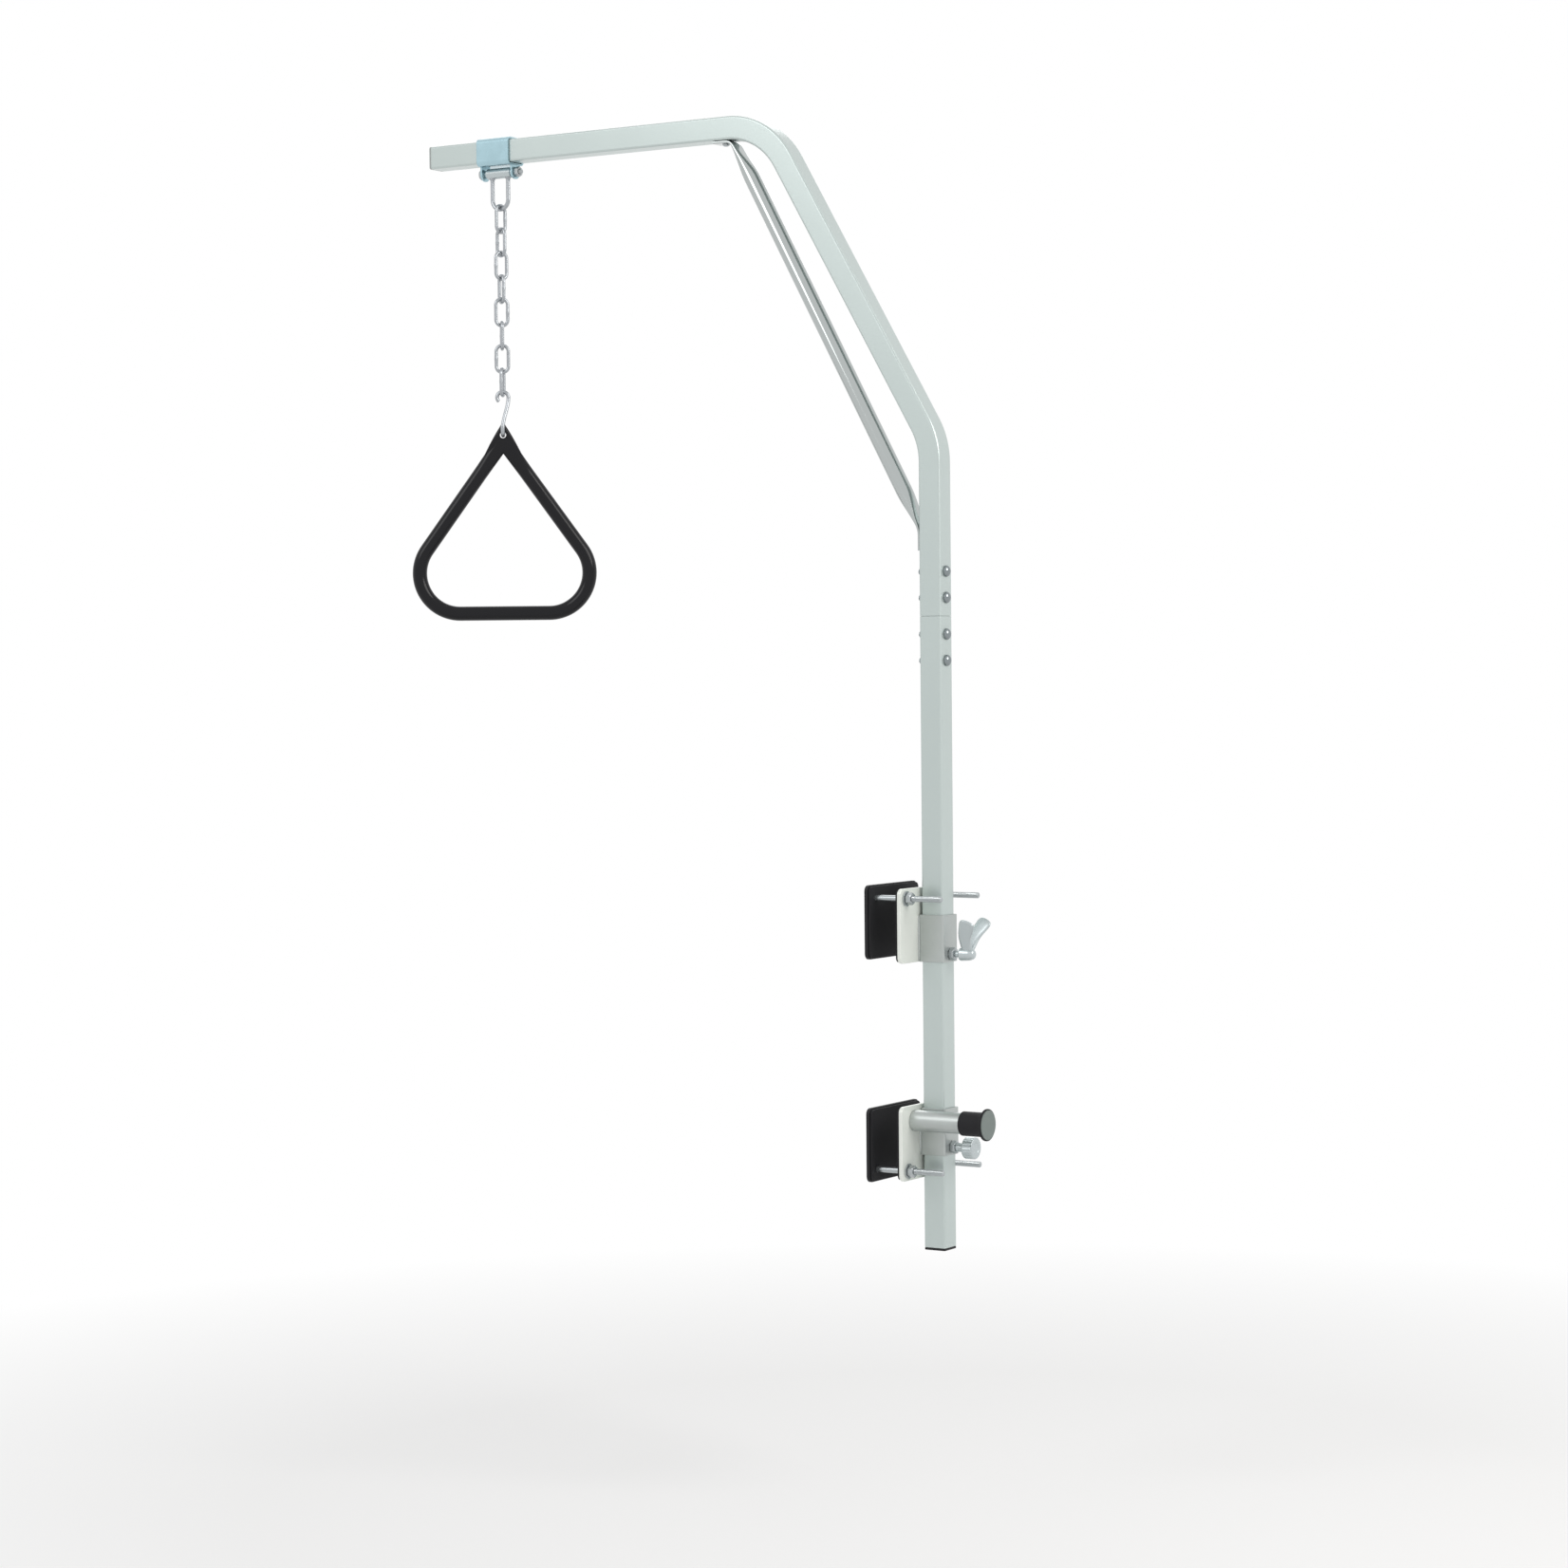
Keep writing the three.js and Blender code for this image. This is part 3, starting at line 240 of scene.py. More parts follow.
def walk(start, heading, moves):
    """Path in a plane. A move that is a number goes straight and adds its end point, and one
    that is an angle and a radius turns and adds points on an arc. Gives the points and the
    headings there."""
    points, headings = [np.array([start])], [np.array([heading])]
    for move in moves:
        at = points[-1][-1]
        if np.isscalar(move):
            points.append((at + move * np.array([math.cos(heading), math.sin(heading)]))[None])
            headings.append(np.array([heading]))
            continue
        amount, radius = move
        steps = max(2, math.ceil(abs(amount) / BEND_STEP))
        swing = math.copysign(radius, amount)
        centre = at + swing * np.array([-math.sin(heading), math.cos(heading)])
        bearings = heading + amount * np.arange(1, steps + 1) / steps
        points.append(centre + swing * np.stack([np.sin(bearings), -np.cos(bearings)], -1))
        headings.append(bearings)
        heading = bearings[-1]
    return np.concatenate(points), np.concatenate(headings)


# Surfaces, as vertices and faces


def skin(rows, looped=False):
    """Joins neighbouring rings of a grid with quads. A looped grid closes on itself like a
    torus, and the end rings of any other are closed by a flat face each. A ring that has shrunk
    to a point is welded to one vertex when the piece is made."""
    rows = np.asarray(rows, float)
    count, sides = rows.shape[:2]
    index = np.arange(count * sides).reshape(count, sides)
    lower = index if looped else index[:-1]
    upper = np.roll(index, -1, 0) if looped else index[1:]
    quads = np.stack([lower, np.roll(lower, -1, 1), np.roll(upper, -1, 1), upper], -1)
    faces = quads.reshape(-1, 4).tolist()
    if not looped:
        faces += [index[0][::-1].tolist(), index[-1].tolist()]
    return rows.reshape(-1, 3), faces


def spun(along, radius, origin, axis, sides):
    """Rings round an axis, each at its distance along it. Each ring has one radius, or one for
    each of its points."""
    first = np.cross(Z_AXIS if abs(axis[2]) < 0.9 else X_AXIS, axis)
    circle = ring(1, sides)
    around = circle[:, :1] * first + circle[:, 1:] * np.cross(axis, first)
    return origin + np.reshape(along, (-1, 1, 1)) * axis + radius[..., None] * around


def turned(profile, origin, axis, sides=ROUND_SIDES, looped=False):
    """Turned piece: each profile row holds a distance along the axis and a radius, and the
    point goes round the axis at that radius."""
    profile = np.asarray(profile, float)
    return skin(spun(profile[:, 0], profile[:, 1:], origin, axis, sides), looped)


def round_tube(start, end, bore, radius, origin):
    """Round tube along X with slightly rounded rims."""
    section = [[start, bore], [start, radius], [end, radius], [end, bore]]
    return turned(eased(section, SEAT_GAP, 3, True), origin, X_AXIS, looped=True)


def domed_bolt(tail, radius, seat, rise, head, rim, origin, axis):
    """Bolt with a domed head: a shank from its tail to the head's seat, a short upright rim,
    and then a quarter of an ellipse to the middle."""
    turn = np.linspace(0, np.pi / 2, DOME_STEPS + 1)
    dome = np.stack([seat + rim + (rise - rim) * np.sin(turn), head * np.cos(turn)], -1)
    shank = [[tail, 0], [tail, radius], [seat, radius], [seat, head]]
    return turned(np.concatenate([shank, dome]), origin, axis)


def threaded(start, end, radius, pitch, origin, axis):
    """Threaded shank: the radius falls and rises in a triangle wave of the distance along the
    axis less the turn's share of the pitch, and tapers to nothing at both ends."""
    depth = THREAD_DEPTH * pitch
    along = np.linspace(start, end, int((end - start) / pitch * RINGS_PER_PITCH))[:, None]
    turn = np.arange(THREAD_SIDES) / THREAD_SIDES
    wave = np.abs(np.mod(along / pitch - turn, 1) * 2 - 1)
    ends = np.minimum((along - start) / pitch, (end - along) / pitch).clip(0, 1)
    reach = radius - depth * wave * ends - depth * (1 - (2 * (end - along) / pitch).clip(0, 1))
    return skin(spun(along, reach, origin, axis, THREAD_SIDES))


def hexagon_body(across_flats, thickness, bore, origin, axis, both=True):
    """Hexagon nut or bolt head: the radius at each height is the smaller of two. One is the
    hexagon's, half the flats over the cosine of the angle from the nearest flat's middle. The
    other is a 30 degree cone's, which cuts the corners at the free rim, or at both."""
    turn = np.arange(HEXAGON_SIDES) * 2 * np.pi / HEXAGON_SIDES
    flats = across_flats / 2 / np.cos(np.mod(turn + np.pi / 6, np.pi / 3) - np.pi / 6)
    land = LAND_SHARE * across_flats / 2
    slope = math.tan(math.pi / 6)
    rise = np.linspace(0, (across_flats / math.sqrt(3) - land) * slope, CONE_STEPS + 1)
    heights = np.concatenate([rise if both else [0.0], thickness - rise[::-1]])
    from_rim = np.minimum(heights if both else np.inf, thickness - heights)
    radius = np.minimum(flats, (land + from_rim / slope)[:, None])
    if bore:
        heights = np.concatenate([heights, [thickness, 0.0]])
        radius = np.concatenate([radius, np.full((2, HEXAGON_SIDES), bore)])
    return skin(spun(heights, radius, origin, axis, HEXAGON_SIDES), bool(bore))


def carried(points, side, normal, outline, looped=False, bore=None):
    """Section carried along a path: at each path point the outline's first number goes along
    the normal and its second along the side. A bore outline makes the body a tube."""
    side, normal = (np.broadcast_to(way, points.shape)[:, None] for way in (side, normal))

    def rows_of(shape):
        return points[:, None] + shape[..., :1] * normal + shape[..., 1:] * side
    if bore is None:
        return skin(rows_of(outline), looped)
    return skin(np.concatenate([rows_of(outline), rows_of(bore)[::-1]]), True)


def in_plane(flat, headings, origin, ahead, up):
    """Takes a path drawn in a plane to its place: points, sides and the plane's normal."""
    side = -np.sin(headings)[:, None] * ahead + np.cos(headings)[:, None] * up
    return origin + flat[:, :1] * ahead + flat[:, 1:] * up, side, np.cross(up, ahead)


def stacked(outlines, heights, origin, first, second, looped=False):
    """Joins outlines drawn along two directions, each at its height along the third."""
    along = np.cross(first, second)
    return skin([
        origin + shape[:, :1] * first + shape[:, 1:] * second + height * along
        for shape, height in zip(outlines, heights)], looped)


def slab(outline, thickness, edge, origin, first, second):
    """Flat piece with rounded rims: the outline, given as a function of how far it is set in,
    is stacked along the thickness, and set in along a quarter circle at both rims."""
    turn = np.linspace(0, np.pi / 2, RIM_STEPS + 1)
    inset = edge * (1 - np.sin(turn))
    height = edge * (1 - np.cos(turn))
    return stacked([outline(i) for i in (*inset, *inset[::-1])],
                   (*height, *(thickness - height[::-1])), origin, first, second)


def pierced(outline, thickness, edge, origin, first, second, centres, radius):
    """Slab with round holes: the walls of the holes join its two flat faces, which are cut into
    triangles round them."""
    points, faces = slab(outline, thickness, edge, origin, first, second)
    loops = [[faces[-2]], [faces[-1]]]
    faces = faces[:-2]
    for centre in centres:
        shape = centre + ring(radius, HOLE_SIDES)
        flat = origin + shape[:, :1] * first + shape[:, 1:] * second
        lower = len(points) + np.arange(HOLE_SIDES)
        upper = lower + HOLE_SIDES
        points = np.concatenate([points, flat, flat + thickness * np.cross(first, second)])
        faces += np.stack([lower, np.roll(lower, -1), np.roll(upper, -1), upper], -1).tolist()
        loops[0].append(lower.tolist())
        loops[1].append(upper.tolist())
    for side in loops:
        rims = sum(side, [])
        outlines = [[Vector(points[i]) for i in loop] for loop in side]
        faces += [[rims[i] for i in corner] for corner in tessellate_polygon(outlines)]
    return points, faces


def walled(outer, inner, height, edge, origin, first, second):
    """Box tube with broken rims: the outer outline runs up its length, the inner one comes back,
    and both are set off by the edge at the rims."""
    up = (0.0, edge, height - edge, height)
    outlines = [outer(edge), outer(0), outer(0), outer(edge),
                inner(-edge), inner(0), inner(0), inner(-edge)]
    return stacked(outlines, up + up[::-1], origin, first, second, True)


# Finishes


def feed(tree, node, inputs):
    """Fills a node's inputs: a socket is linked, and any other value is set as a constant."""
    for key, value in inputs.items():
        if isinstance(value, bpy.types.NodeSocket):
            tree.links.new(value, node.inputs[key])
        else:
            node.inputs[key].default_value = value


def add_node(tree, kind, inputs=None, **settings):
    """Adds a shader node with its settings and inputs."""
    node = tree.nodes.new(f"ShaderNode{kind}")
    for key, value in settings.items():
        setattr(node, key, value)
    feed(tree, node, inputs or {})
    return node


def unevenness_group():
    """Shared unevenness of a surface: a broad noise as a mask, and a fine one as a height."""
    group = bpy.data.node_groups.get("Surface unevenness")
    if group:
        return group
    group = bpy.data.node_groups.new("Surface unevenness", "ShaderNodeTree")
    for label, default in (("Broad Scale", 20.0), ("Fine Scale", 400.0)):
        socket = group.interface.new_socket(label, in_out="INPUT", socket_type="NodeSocketFloat")
        socket.default_value = default
    for label in ("Mask", "Height"):
        group.interface.new_socket(label, in_out="OUTPUT", socket_type="NodeSocketFloat")
    entry = group.nodes.new("NodeGroupInput")
    leave = group.nodes.new("NodeGroupOutput")
    place = add_node(group, "TexCoord").outputs["Object"]
    for label, scale, detail in (("Mask", "Broad Scale", 3.0), ("Height", "Fine Scale", 2.0)):
        noise = add_node(group, "TexNoise", {
            "Detail": detail, "Vector": place, "Scale": entry.outputs[scale]})
        feed(group, leave, {label: noise.outputs["Fac"]})
    return group


def finish(kind):
    """Material of a kind of finish, made on its first use: a principled finish whose colour and
    roughness run a little up and down with the broad mask, and whose bump follows the fine
    height."""
    name, _, spread, roughness, uneven, metallic, broad, fine, bump, specular = FINISHES[kind]
    material = bpy.data.materials.get(name)
    if material:
        return material
    material = bpy.data.materials.new(name)
    material.use_nodes = True
    tree = material.node_tree
    base = np.array(getattr(bpy.context.scene.trapeze_finishes, kind))
    marks = add_node(tree, "Group", {"Broad Scale": broad, "Fine Scale": fine},
                     node_tree=unevenness_group())
    tint = add_node(tree, "Mix", {
        0: marks.outputs["Mask"], 6: (*np.clip(base * (1 - spread), 0, 1), 1.0),
        7: (*np.clip(base * (1 + spread), 0, 1), 1.0)}, data_type="RGBA")
    band = add_node(tree, "MapRange", {
        "Value": marks.outputs["Mask"], "To Min": roughness - uneven,
        "To Max": roughness + uneven})
    shader = tree.nodes["Principled BSDF"]
    shader.inputs["Roughness"].default_value = roughness
    feed(tree, shader, {
        "Base Color": tint.outputs[2], "Roughness": band.outputs["Result"],
        "Metallic": metallic, "Specular IOR Level": specular})
    if bump:
        lift = add_node(tree, "Bump", {
            "Strength": bump, "Distance": BUMP_HEIGHT, "Height": marks.outputs["Height"]})
        feed(tree, shader, {"Normal": lift.outputs["Normal"]})
    return material


# Pieces


def new_piece(name, parts, kind, body, node):
    """Makes one object of some closed surfaces in a kind of finish, seated on a body in place of
    its node."""
    vertices = np.concatenate([part[0] for part in parts])
    starts = np.cumsum([0] + [len(part[0]) for part in parts[:-1]])
    faces = [[i + start for i in face] for start, part in zip(starts, parts) for face in part[1]]
    mesh = bpy.data.meshes.new(name)
    mesh.from_pydata(vertices.tolist(), [], faces)
    work = bmesh.new()
    work.from_mesh(mesh)
    bmesh.ops.remove_doubles(work, verts=work.verts, dist=WELD_DISTANCE)
    bmesh.ops.recalc_face_normals(work, faces=work.faces)
    work.to_mesh(mesh)
    work.free()
    mesh.polygons.foreach_set("use_smooth", np.ones(len(mesh.polygons), bool))
    mesh.set_sharp_from_angle(angle=SMOOTH_ANGLE)
    mesh.materials.append(finish(kind))
    made = bpy.data.objects.new(name, mesh)
    bpy.context.scene.collection.objects.link(made)
    made.modifiers.new("Flat faces lead", "WEIGHTED_NORMAL").keep_sharp = True
    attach(made, body)
    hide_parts(node)


def new_nut(node, bore, body, kind="screw_zinc", flats=None, back=False):
    """Makes a hexagon nut from a node's low end on, or back from its high end."""
    start, axis = (high(node)[0], -X_AXIS) if back else (low(node)[0], X_AXIS)
    nut = hexagon_body(flats or extent(node)[2], extent(node)[0], bore, on_line(node, start), axis)
    new_piece(f"{node}_hexagon", [nut], kind, body, node)


def bar_measures():
    """Width of the square tube, the mast's axis along X and the height of the arm's centre."""
    tube = extent("upper_bar")[1]
    return tube, high("upper_bar")[0] - tube / 2, high("upper_bar")[2] - tube / 2


class TRAPEZE_finishes(bpy.types.PropertyGroup):
    satin_zinc: colour("Tubes", "Satin zinc of the bars", 0.52, 0.585, 0.57)
    bright_zinc: colour("Plates", "Bright zinc of the front plates", 0.80, 0.83, 0.78)
    grey_zinc: colour("Sleeves", "Grey zinc of sleeves and bumper tube", 0.45, 0.48, 0.47)
    lock_zinc: colour("Lock screws", "Zinc of lock screws and barrel", 0.50, 0.55, 0.56)
    screw_zinc: colour("Screws", "Zinc of bolts, nuts and washers", 0.42, 0.45, 0.46)
    chain_zinc: colour("Chain", "Zinc of chain, loop and hook", 0.40, 0.42, 0.44)
    blue_zinc: colour("Collar", "Blue zinc of the sliding collar", 0.39, 0.56, 0.62)
    chrome: colour("Chrome", "Chrome of the brace", 0.46, 0.49, 0.485)
    # Base of the seam bolts' chrome, kept dark as painted dark reflection rather than the chrome's
    # own colour
    painted_reflection_chrome: colour("Seam bolts", "Chrome of the seam bolts", 0.26, 0.29, 0.30)
    black_steel: colour("Back plates", "Black coat of the back plates", 0.016, 0.016, 0.018)
    black_rubber: colour("Black rubber", "Pads and bumper cap", 0.016, 0.016, 0.018)
    grey_rubber: colour("Grey rubber", "Bumper pad", 0.19, 0.222, 0.21)
    grey_plastic: colour("Grey plastic", "Plug in the arm's tip", 0.42, 0.45, 0.44)
    black_plastic: colour("Black plastic", "Plug in the mast's foot", 0.016, 0.016, 0.018)
    black_vinyl: colour("Handle coat", "Glossy coat of the grab handle", 0.006, 0.006, 0.008)


class TRAPEZE_bar_sizes(bpy.types.PropertyGroup):
    wall: length("Wall", "Wall of the square tube", 0.00165)
    corner: length("Corner radius", "Outer corner radius of the square tube", 0.003)
    bend: length("Bend radius", "Radius of the centre line in both bends", 0.1016)
    knee: length("Knee height", "Height of the lower bend above the seam", 0.229)
    lean: angle("Diagonal lean", "Lean of the diagonal from upright", 30)
    plug_flange: length("Plug flange", "Thickness of the end plugs' flanges", 0.003)
    plug_edge: length("Plug rim", "Rounding of the flanges' rims", 0.001)


class TRAPEZE_splice_sizes(bpy.types.PropertyGroup):
    shank: length("Bolt diameter", "Diameter of the seam bolts", 0.00635)
    head_rise: length("Head height", "Height of the domed heads", 0.006)
    rim: length("Head rim", "Upright rim below the dome", 0.0008)


class TRAPEZE_brace_sizes(bpy.types.PropertyGroup):
    diameter: length("Diameter", "Diameter of the round brace", 0.0222)
    tab: length("Tab length", "Length of the flattened ends", 0.028)
    flare: length("Flare length", "Length over which the tube turns from flat to round", 0.060)
    tab_thickness: length("Tab thickness", "Thickness of the flattened ends", 0.0036)
    screw: length("Screw diameter", "Diameter of the brace screws", 0.005)
    head_rise: length("Head height", "Height of the screws' heads", 0.003)
    rim: length("Head rim", "Upright rim of the screws' heads", 0.0004)


class TRAPEZE_bracket_sizes(bpy.types.PropertyGroup):
    plate_corner: length("Plate corner", "Corner radius of the plates", 0.008)
    plate_edge: length("Plate rim", "Rounding of the plates' rims", 0.0008)
    pad_corner: length("Pad corner", "Corner radius of the pads", 0.006)
    pad_edge: length("Pad rim", "Rounding of the pads' rims", 0.0004)
    bolt: length("Bolt diameter", "Diameter of the clamp bolts", 0.008)
    bolt_play: length("Bolt play", "Gap between a clamp bolt and its holes", 0.0004)
    pitch: length("Thread pitch", "Pitch of the clamp bolts' thread", 0.00125)
    thread: length("Thread length", "Threaded length of the clamp bolts", 0.062)
    head_rise: length("Head height", "Height of the bolts' domed heads", 0.0046)
    rim: length("Head rim", "Upright rim of the bolts' heads", 0.0008)
    sleeve_wall: length("Sleeve wall", "Wall of the sleeves", 0.0028)
    sleeve_corner: length("Sleeve corner", "Outer corner radius of the sleeves", 0.0035)
    sleeve_bore_corner: length("Sleeve bore corner", "Inner corner radius of the sleeves", 0.003)
    sleeve_edge: length("Sleeve rim", "Broken edge of the sleeves' rims", 0.0005)
    weld: length("Weld bead", "Radius of the weld between sleeve and plate", 0.0022)
    weld_inset: length("Weld inset", "How far the weld lies in from the sleeve's side", 0.001)
    weld_end: length("Weld end", "Gap between the weld and the sleeve's ends", 0.002)
    ripple: length("Weld ripple", "Length of a ripple of the weld", 0.0035)


class TRAPEZE_screw_sizes(bpy.types.PropertyGroup):
    shank: length("Screw diameter", "Diameter of the lock screws", 0.008)
    hub: length("Wing hub", "Diameter of the wing screw's hub", 0.018)
    hub_gap: length("Wing hub gap", "Gap between the sleeve's nut and the hub", 0.0073)
    hub_length: length("Wing hub length", "Length of the wing screw's hub", 0.021)
    hub_round: length("Wing hub rounding", "Rounding of the hub's rims", 0.0022)
    ear: length("Ear length", "Length of the wing screw's ears", 0.054)
    ear_width: length("Ear width", "Greatest width of the ears", 0.023)
    ear_neck: share("Ear neck", "Share of the width that the ears have at the hub", 0.55)
    ear_thickness: length("Ear thickness", "Thickness of the ears", 0.0042)
    spread: angle("Ear spread", "Lean of each ear from upright, to its side", 31)
    flare: angle("Ear flare", "Lean of the ears away from the mast", 16)
    knob: length("Knob diameter", "Diameter of the knob screw's grip", 0.029)
    knob_length: length("Knob length", "Length of the knob screw's grip", 0.015)
    knob_round: length("Knob rounding", "Rounding of the grip's rims", 0.0018)
    dish: length("Knob dish", "Depth of the hollow in the grip's face", 0.0008)
    neck: length("Knob neck", "Diameter of the knob's neck", 0.012)
    neck_length: length("Knob neck length", "Length of the knob's neck", 0.013)
    flutes: IntProperty(name="Flutes", description="Flutes round the knob", default=24, min=6)
    flute_depth: share("Flute depth", "Share of the radius that a flute takes away", 0.035)


class TRAPEZE_bumper_sizes(bpy.types.PropertyGroup):
    wall: length("Tube wall", "Wall of the bumper's tube", 0.00165)
    neck: length("Cap neck", "Diameter of the rubber cap round the tube", 0.032)
    flare: length("Cap flare", "Length over which the cap widens to its rim", 0.011)
    rim: length("Cap rim", "Thickness of the cap's rim", 0.003)
    cap_round: length("Cap rounding", "Rounding of the cap's rims", 0.0009)
    pad_round: length("Pad rounding", "Rounding of the pad's rims", 0.0006)


class TRAPEZE_carrier_sizes(bpy.types.PropertyGroup):
    wall: length("Collar wall", "Wall of the sliding collar", 0.003)
    corner: length("Collar corner", "Outer corner radius of the collar", 0.0065)
    edge: length("Collar rim", "Broken edge of the collar's rims", 0.0006)
    lug: length("Lug width", "Width of the lugs below the collar", 0.020)
    lug_edge: length("Lug rim", "Rounding of the lugs' rims", 0.0004)
    pin: length("Bolt diameter", "Diameter of the carrier bolt", 0.0079)
    pitch: length("Thread pitch", "Pitch of the carrier bolt's thread", 0.0014)
    thread: length("Thread length", "Threaded length of the carrier bolt", 0.018)
    flats: length("Across flats", "Width across the bolt's and nut's flats", 0.0127)
    head: length("Head height", "Height of the carrier bolt's head", 0.0053)
    barrel: length("Barrel diameter", "Diameter of the barrel", 0.015)
    barrel_round: length("Barrel rounding", "Rounding of the barrel's rims", 0.0008)
    shoulder: length("Barrel shoulder", "Diameter of the barrel's ends", 0.011)
    body: length("Barrel body", "Length of the barrel's thick part", 0.041)
    wire: length("Loop wire", "Diameter of the hanging loop's wire", 0.006)
    weld_rise: length("Weld rise", "Height of the loop's welds over the barrel's foot", 0.0011)
    weld_drop: length("Weld drop", "Depth of the loop's welds below the barrel's foot", 0.0016)
    weld_top: length("Weld top", "Diameter of the loop's welds at the barrel", 0.0092)
    weld_bottom: length("Weld bottom", "Diameter of the loop's welds at the wire", 0.0072)
    weld_round: length("Weld rounding", "Rounding of the loop's welds", 0.001)


class TRAPEZE_chain_sizes(bpy.types.PropertyGroup):
    wire: length("Wire", "Diameter of the links' wire", 0.0049)
    width: length("Width", "Outer width of a link", 0.022)
    turn: angle("Turn", "Turn from one link to the next", 81.7)
    count: IntProperty(name="Links", description="Number of links", default=8, min=1)
    weld: share("Weld bulge", "How much thicker the wire is at a link's weld", 0.12)


class TRAPEZE_hook_sizes(bpy.types.PropertyGroup):
    wire: length("Wire", "Diameter of the hook's wire", 0.0055)
    upper: length("Upper radius", "Radius of the upper curl's centre line", 0.008)
    lower: length("Lower radius", "Radius of the lower curl's centre line", 0.009)
    upper_wrap: angle("Upper wrap", "How far the upper curl runs past a half turn", 50)
    lower_wrap: angle("Lower wrap", "How far the lower curl runs past a half turn", 20)


class TRAPEZE_handle_sizes(bpy.types.PropertyGroup):
    rod: length("Rod diameter", "Diameter of the coated rod", 0.0205)
    half_angle: angle("Half angle", "Half of the angle between the sides", 35.5)
    height: length("Height", "Height of the triangle of centre lines", 0.2436)
    corner: length("Corner radius", "Radius of the centre line at the base's corners", 0.057)
    press_start: length("Press start", "Where the rod starts to grow round below the tip", 0.012)
    press_end: length("Press end", "Where the rod is fully round below the tip", 0.06)
    tip: length("Tip thickness", "Thickness of the flattened tip", 0.009)
    tip_rise: length("Tip rise", "Height of the tip above the point where the sides meet", 0.025)
    tip_drop: length("Tip drop", "Depth of the flat part below that point", 0.02)
    tip_top: length("Tip width", "Width of the tip's blunt top", 0.003)
    tip_out: length("Tip pull outwards", "How far out the tip's curved sides are pulled", 0.0144)
    tip_up: length("Tip pull upwards", "How far up the tip's curved sides are pulled", 0.006)
    tip_bow: length("Tip bow", "How far the foot of the flat part bows up", 0.004)
    hole: length("Hole diameter", "Diameter of the hole in the tip", 0.009)
    hole_edge: length("Hole rim", "Broken edge of the hole", 0.0006)
    hole_rise: length("Hole rise", "Height of the hole above where the sides meet", 0.008)
    turn: angle("Turn", "Turn of hook and handle about the upright", 31.8)


class TRAPEZE_stage_settings(bpy.types.PropertyGroup):
    view_turn: angle("View turn", "Turn of the camera about the upright", 31.8)
    view_drop: angle("View drop", "How far the camera looks down", 1.74)
    view_roll: angle("View roll", "Roll of the camera", 0.52)
    distance: length("Distance", "Camera's distance from the mast", 4.782)
    eye_height: length("Eye height", "Camera's height above the mast's foot", 0.762)
    aside: length("Aside", "How far the camera stands to the left of the mast", 0.2014)
    lens: FloatProperty(name="Lens", description="Focal length", default=83.4, unit="CAMERA")
    world: FloatProperty(name="World", description="Strength of the world's light", default=0.62)
    lamp: length("Lamp size", "Diameter of the lamps", 2.4)
    floor_radius: length("Floor radius", "Radius of the round floor", 30)
    floor_drop: length("Floor drop", "Depth of the floor below the mast's foot", 0.34)
    floor_shade: share("Floor shade", "Lightness of the floor", 0.92)
    floor_roughness: share("Floor roughness", "Roughness of the floor", 0.9)
    fade_start: length("Fade start", "How far out the floor starts to run to white", 0.9)
    fade_end: length("Fade end", "How far out the floor is white", 2.2)


class TRAPEZE_OT_bars(bpy.types.Operator):
    """Makes the two square-tube bars and the plugs in their ends"""

    bl_idname = "trapeze.bars"
    bl_label = "Bars and plugs"

    def execute(self, context):
        """The upper bar's section is carried along straights and two arcs. Each arc takes the
        bend's radius times the tangent of half its turn from the straights beside it."""
        sizes = context.scene.trapeze_bars
        tube, axis_x, arm_z = bar_measures()
        tip_x, _, seam_z = low("upper_bar")
        bore = tube - 2 * sizes.wall
        inner_corner = sizes.corner - sizes.wall
        outer = box_outline(tube, tube, sizes.corner)
        inner = box_outline(bore, bore, inner_corner)
        rise = arm_z - seam_z - sizes.knee
        turn = math.pi / 2 - sizes.lean
        knee_reach = sizes.bend * math.tan(sizes.lean / 2)
        arm_reach = sizes.bend * math.tan(turn / 2)
        path = walk((0.0, 0.0), math.pi / 2, [
            sizes.knee - knee_reach, (sizes.lean, sizes.bend),
            rise / math.cos(sizes.lean) - knee_reach - arm_reach, (turn, sizes.bend),
            axis_x - tip_x - rise * math.tan(sizes.lean) - arm_reach])
        place = in_plane(*path, np.array([axis_x, 0, seam_z]), X_AXIS, Z_AXIS)
        upper = carried(*place, outer(0), bore=inner(0))
        new_piece("upper_bar_tube", [upper], "satin_zinc", "mast", "upper_bar")

        foot = np.array([axis_x, 0, low("lower_bar")[2]])
        lower = walled(outer, inner, extent("lower_bar")[2], SEAT_GAP, foot, X_AXIS, Y_AXIS)
        new_piece("lower_bar_tube", [lower], "satin_zinc", "mast", "lower_bar")

        spigot = bore - 2 * SEAT_GAP
        for node, kind, first, second in (
            ("mast_end_plug", "black_plastic", X_AXIS, Y_AXIS),
            ("arm_end_plug", "grey_plastic", Y_AXIS, Z_AXIS),
        ):
            along = np.cross(first, second)
            origin = middle(node) * (1 - along) + low(node) * along
            sunk = along * sizes.plug_flange / 2
            flange = slab(outer, sizes.plug_flange, sizes.plug_edge, origin, first, second)
            stem = slab(box_outline(spigot, spigot, inner_corner), (extent(node) - sunk) @ along,
                        SEAT_GAP, origin + sunk, first, second)
            new_piece(f"{node}_cap", [flange, stem], kind, "mast", node)
        return {"FINISHED"}


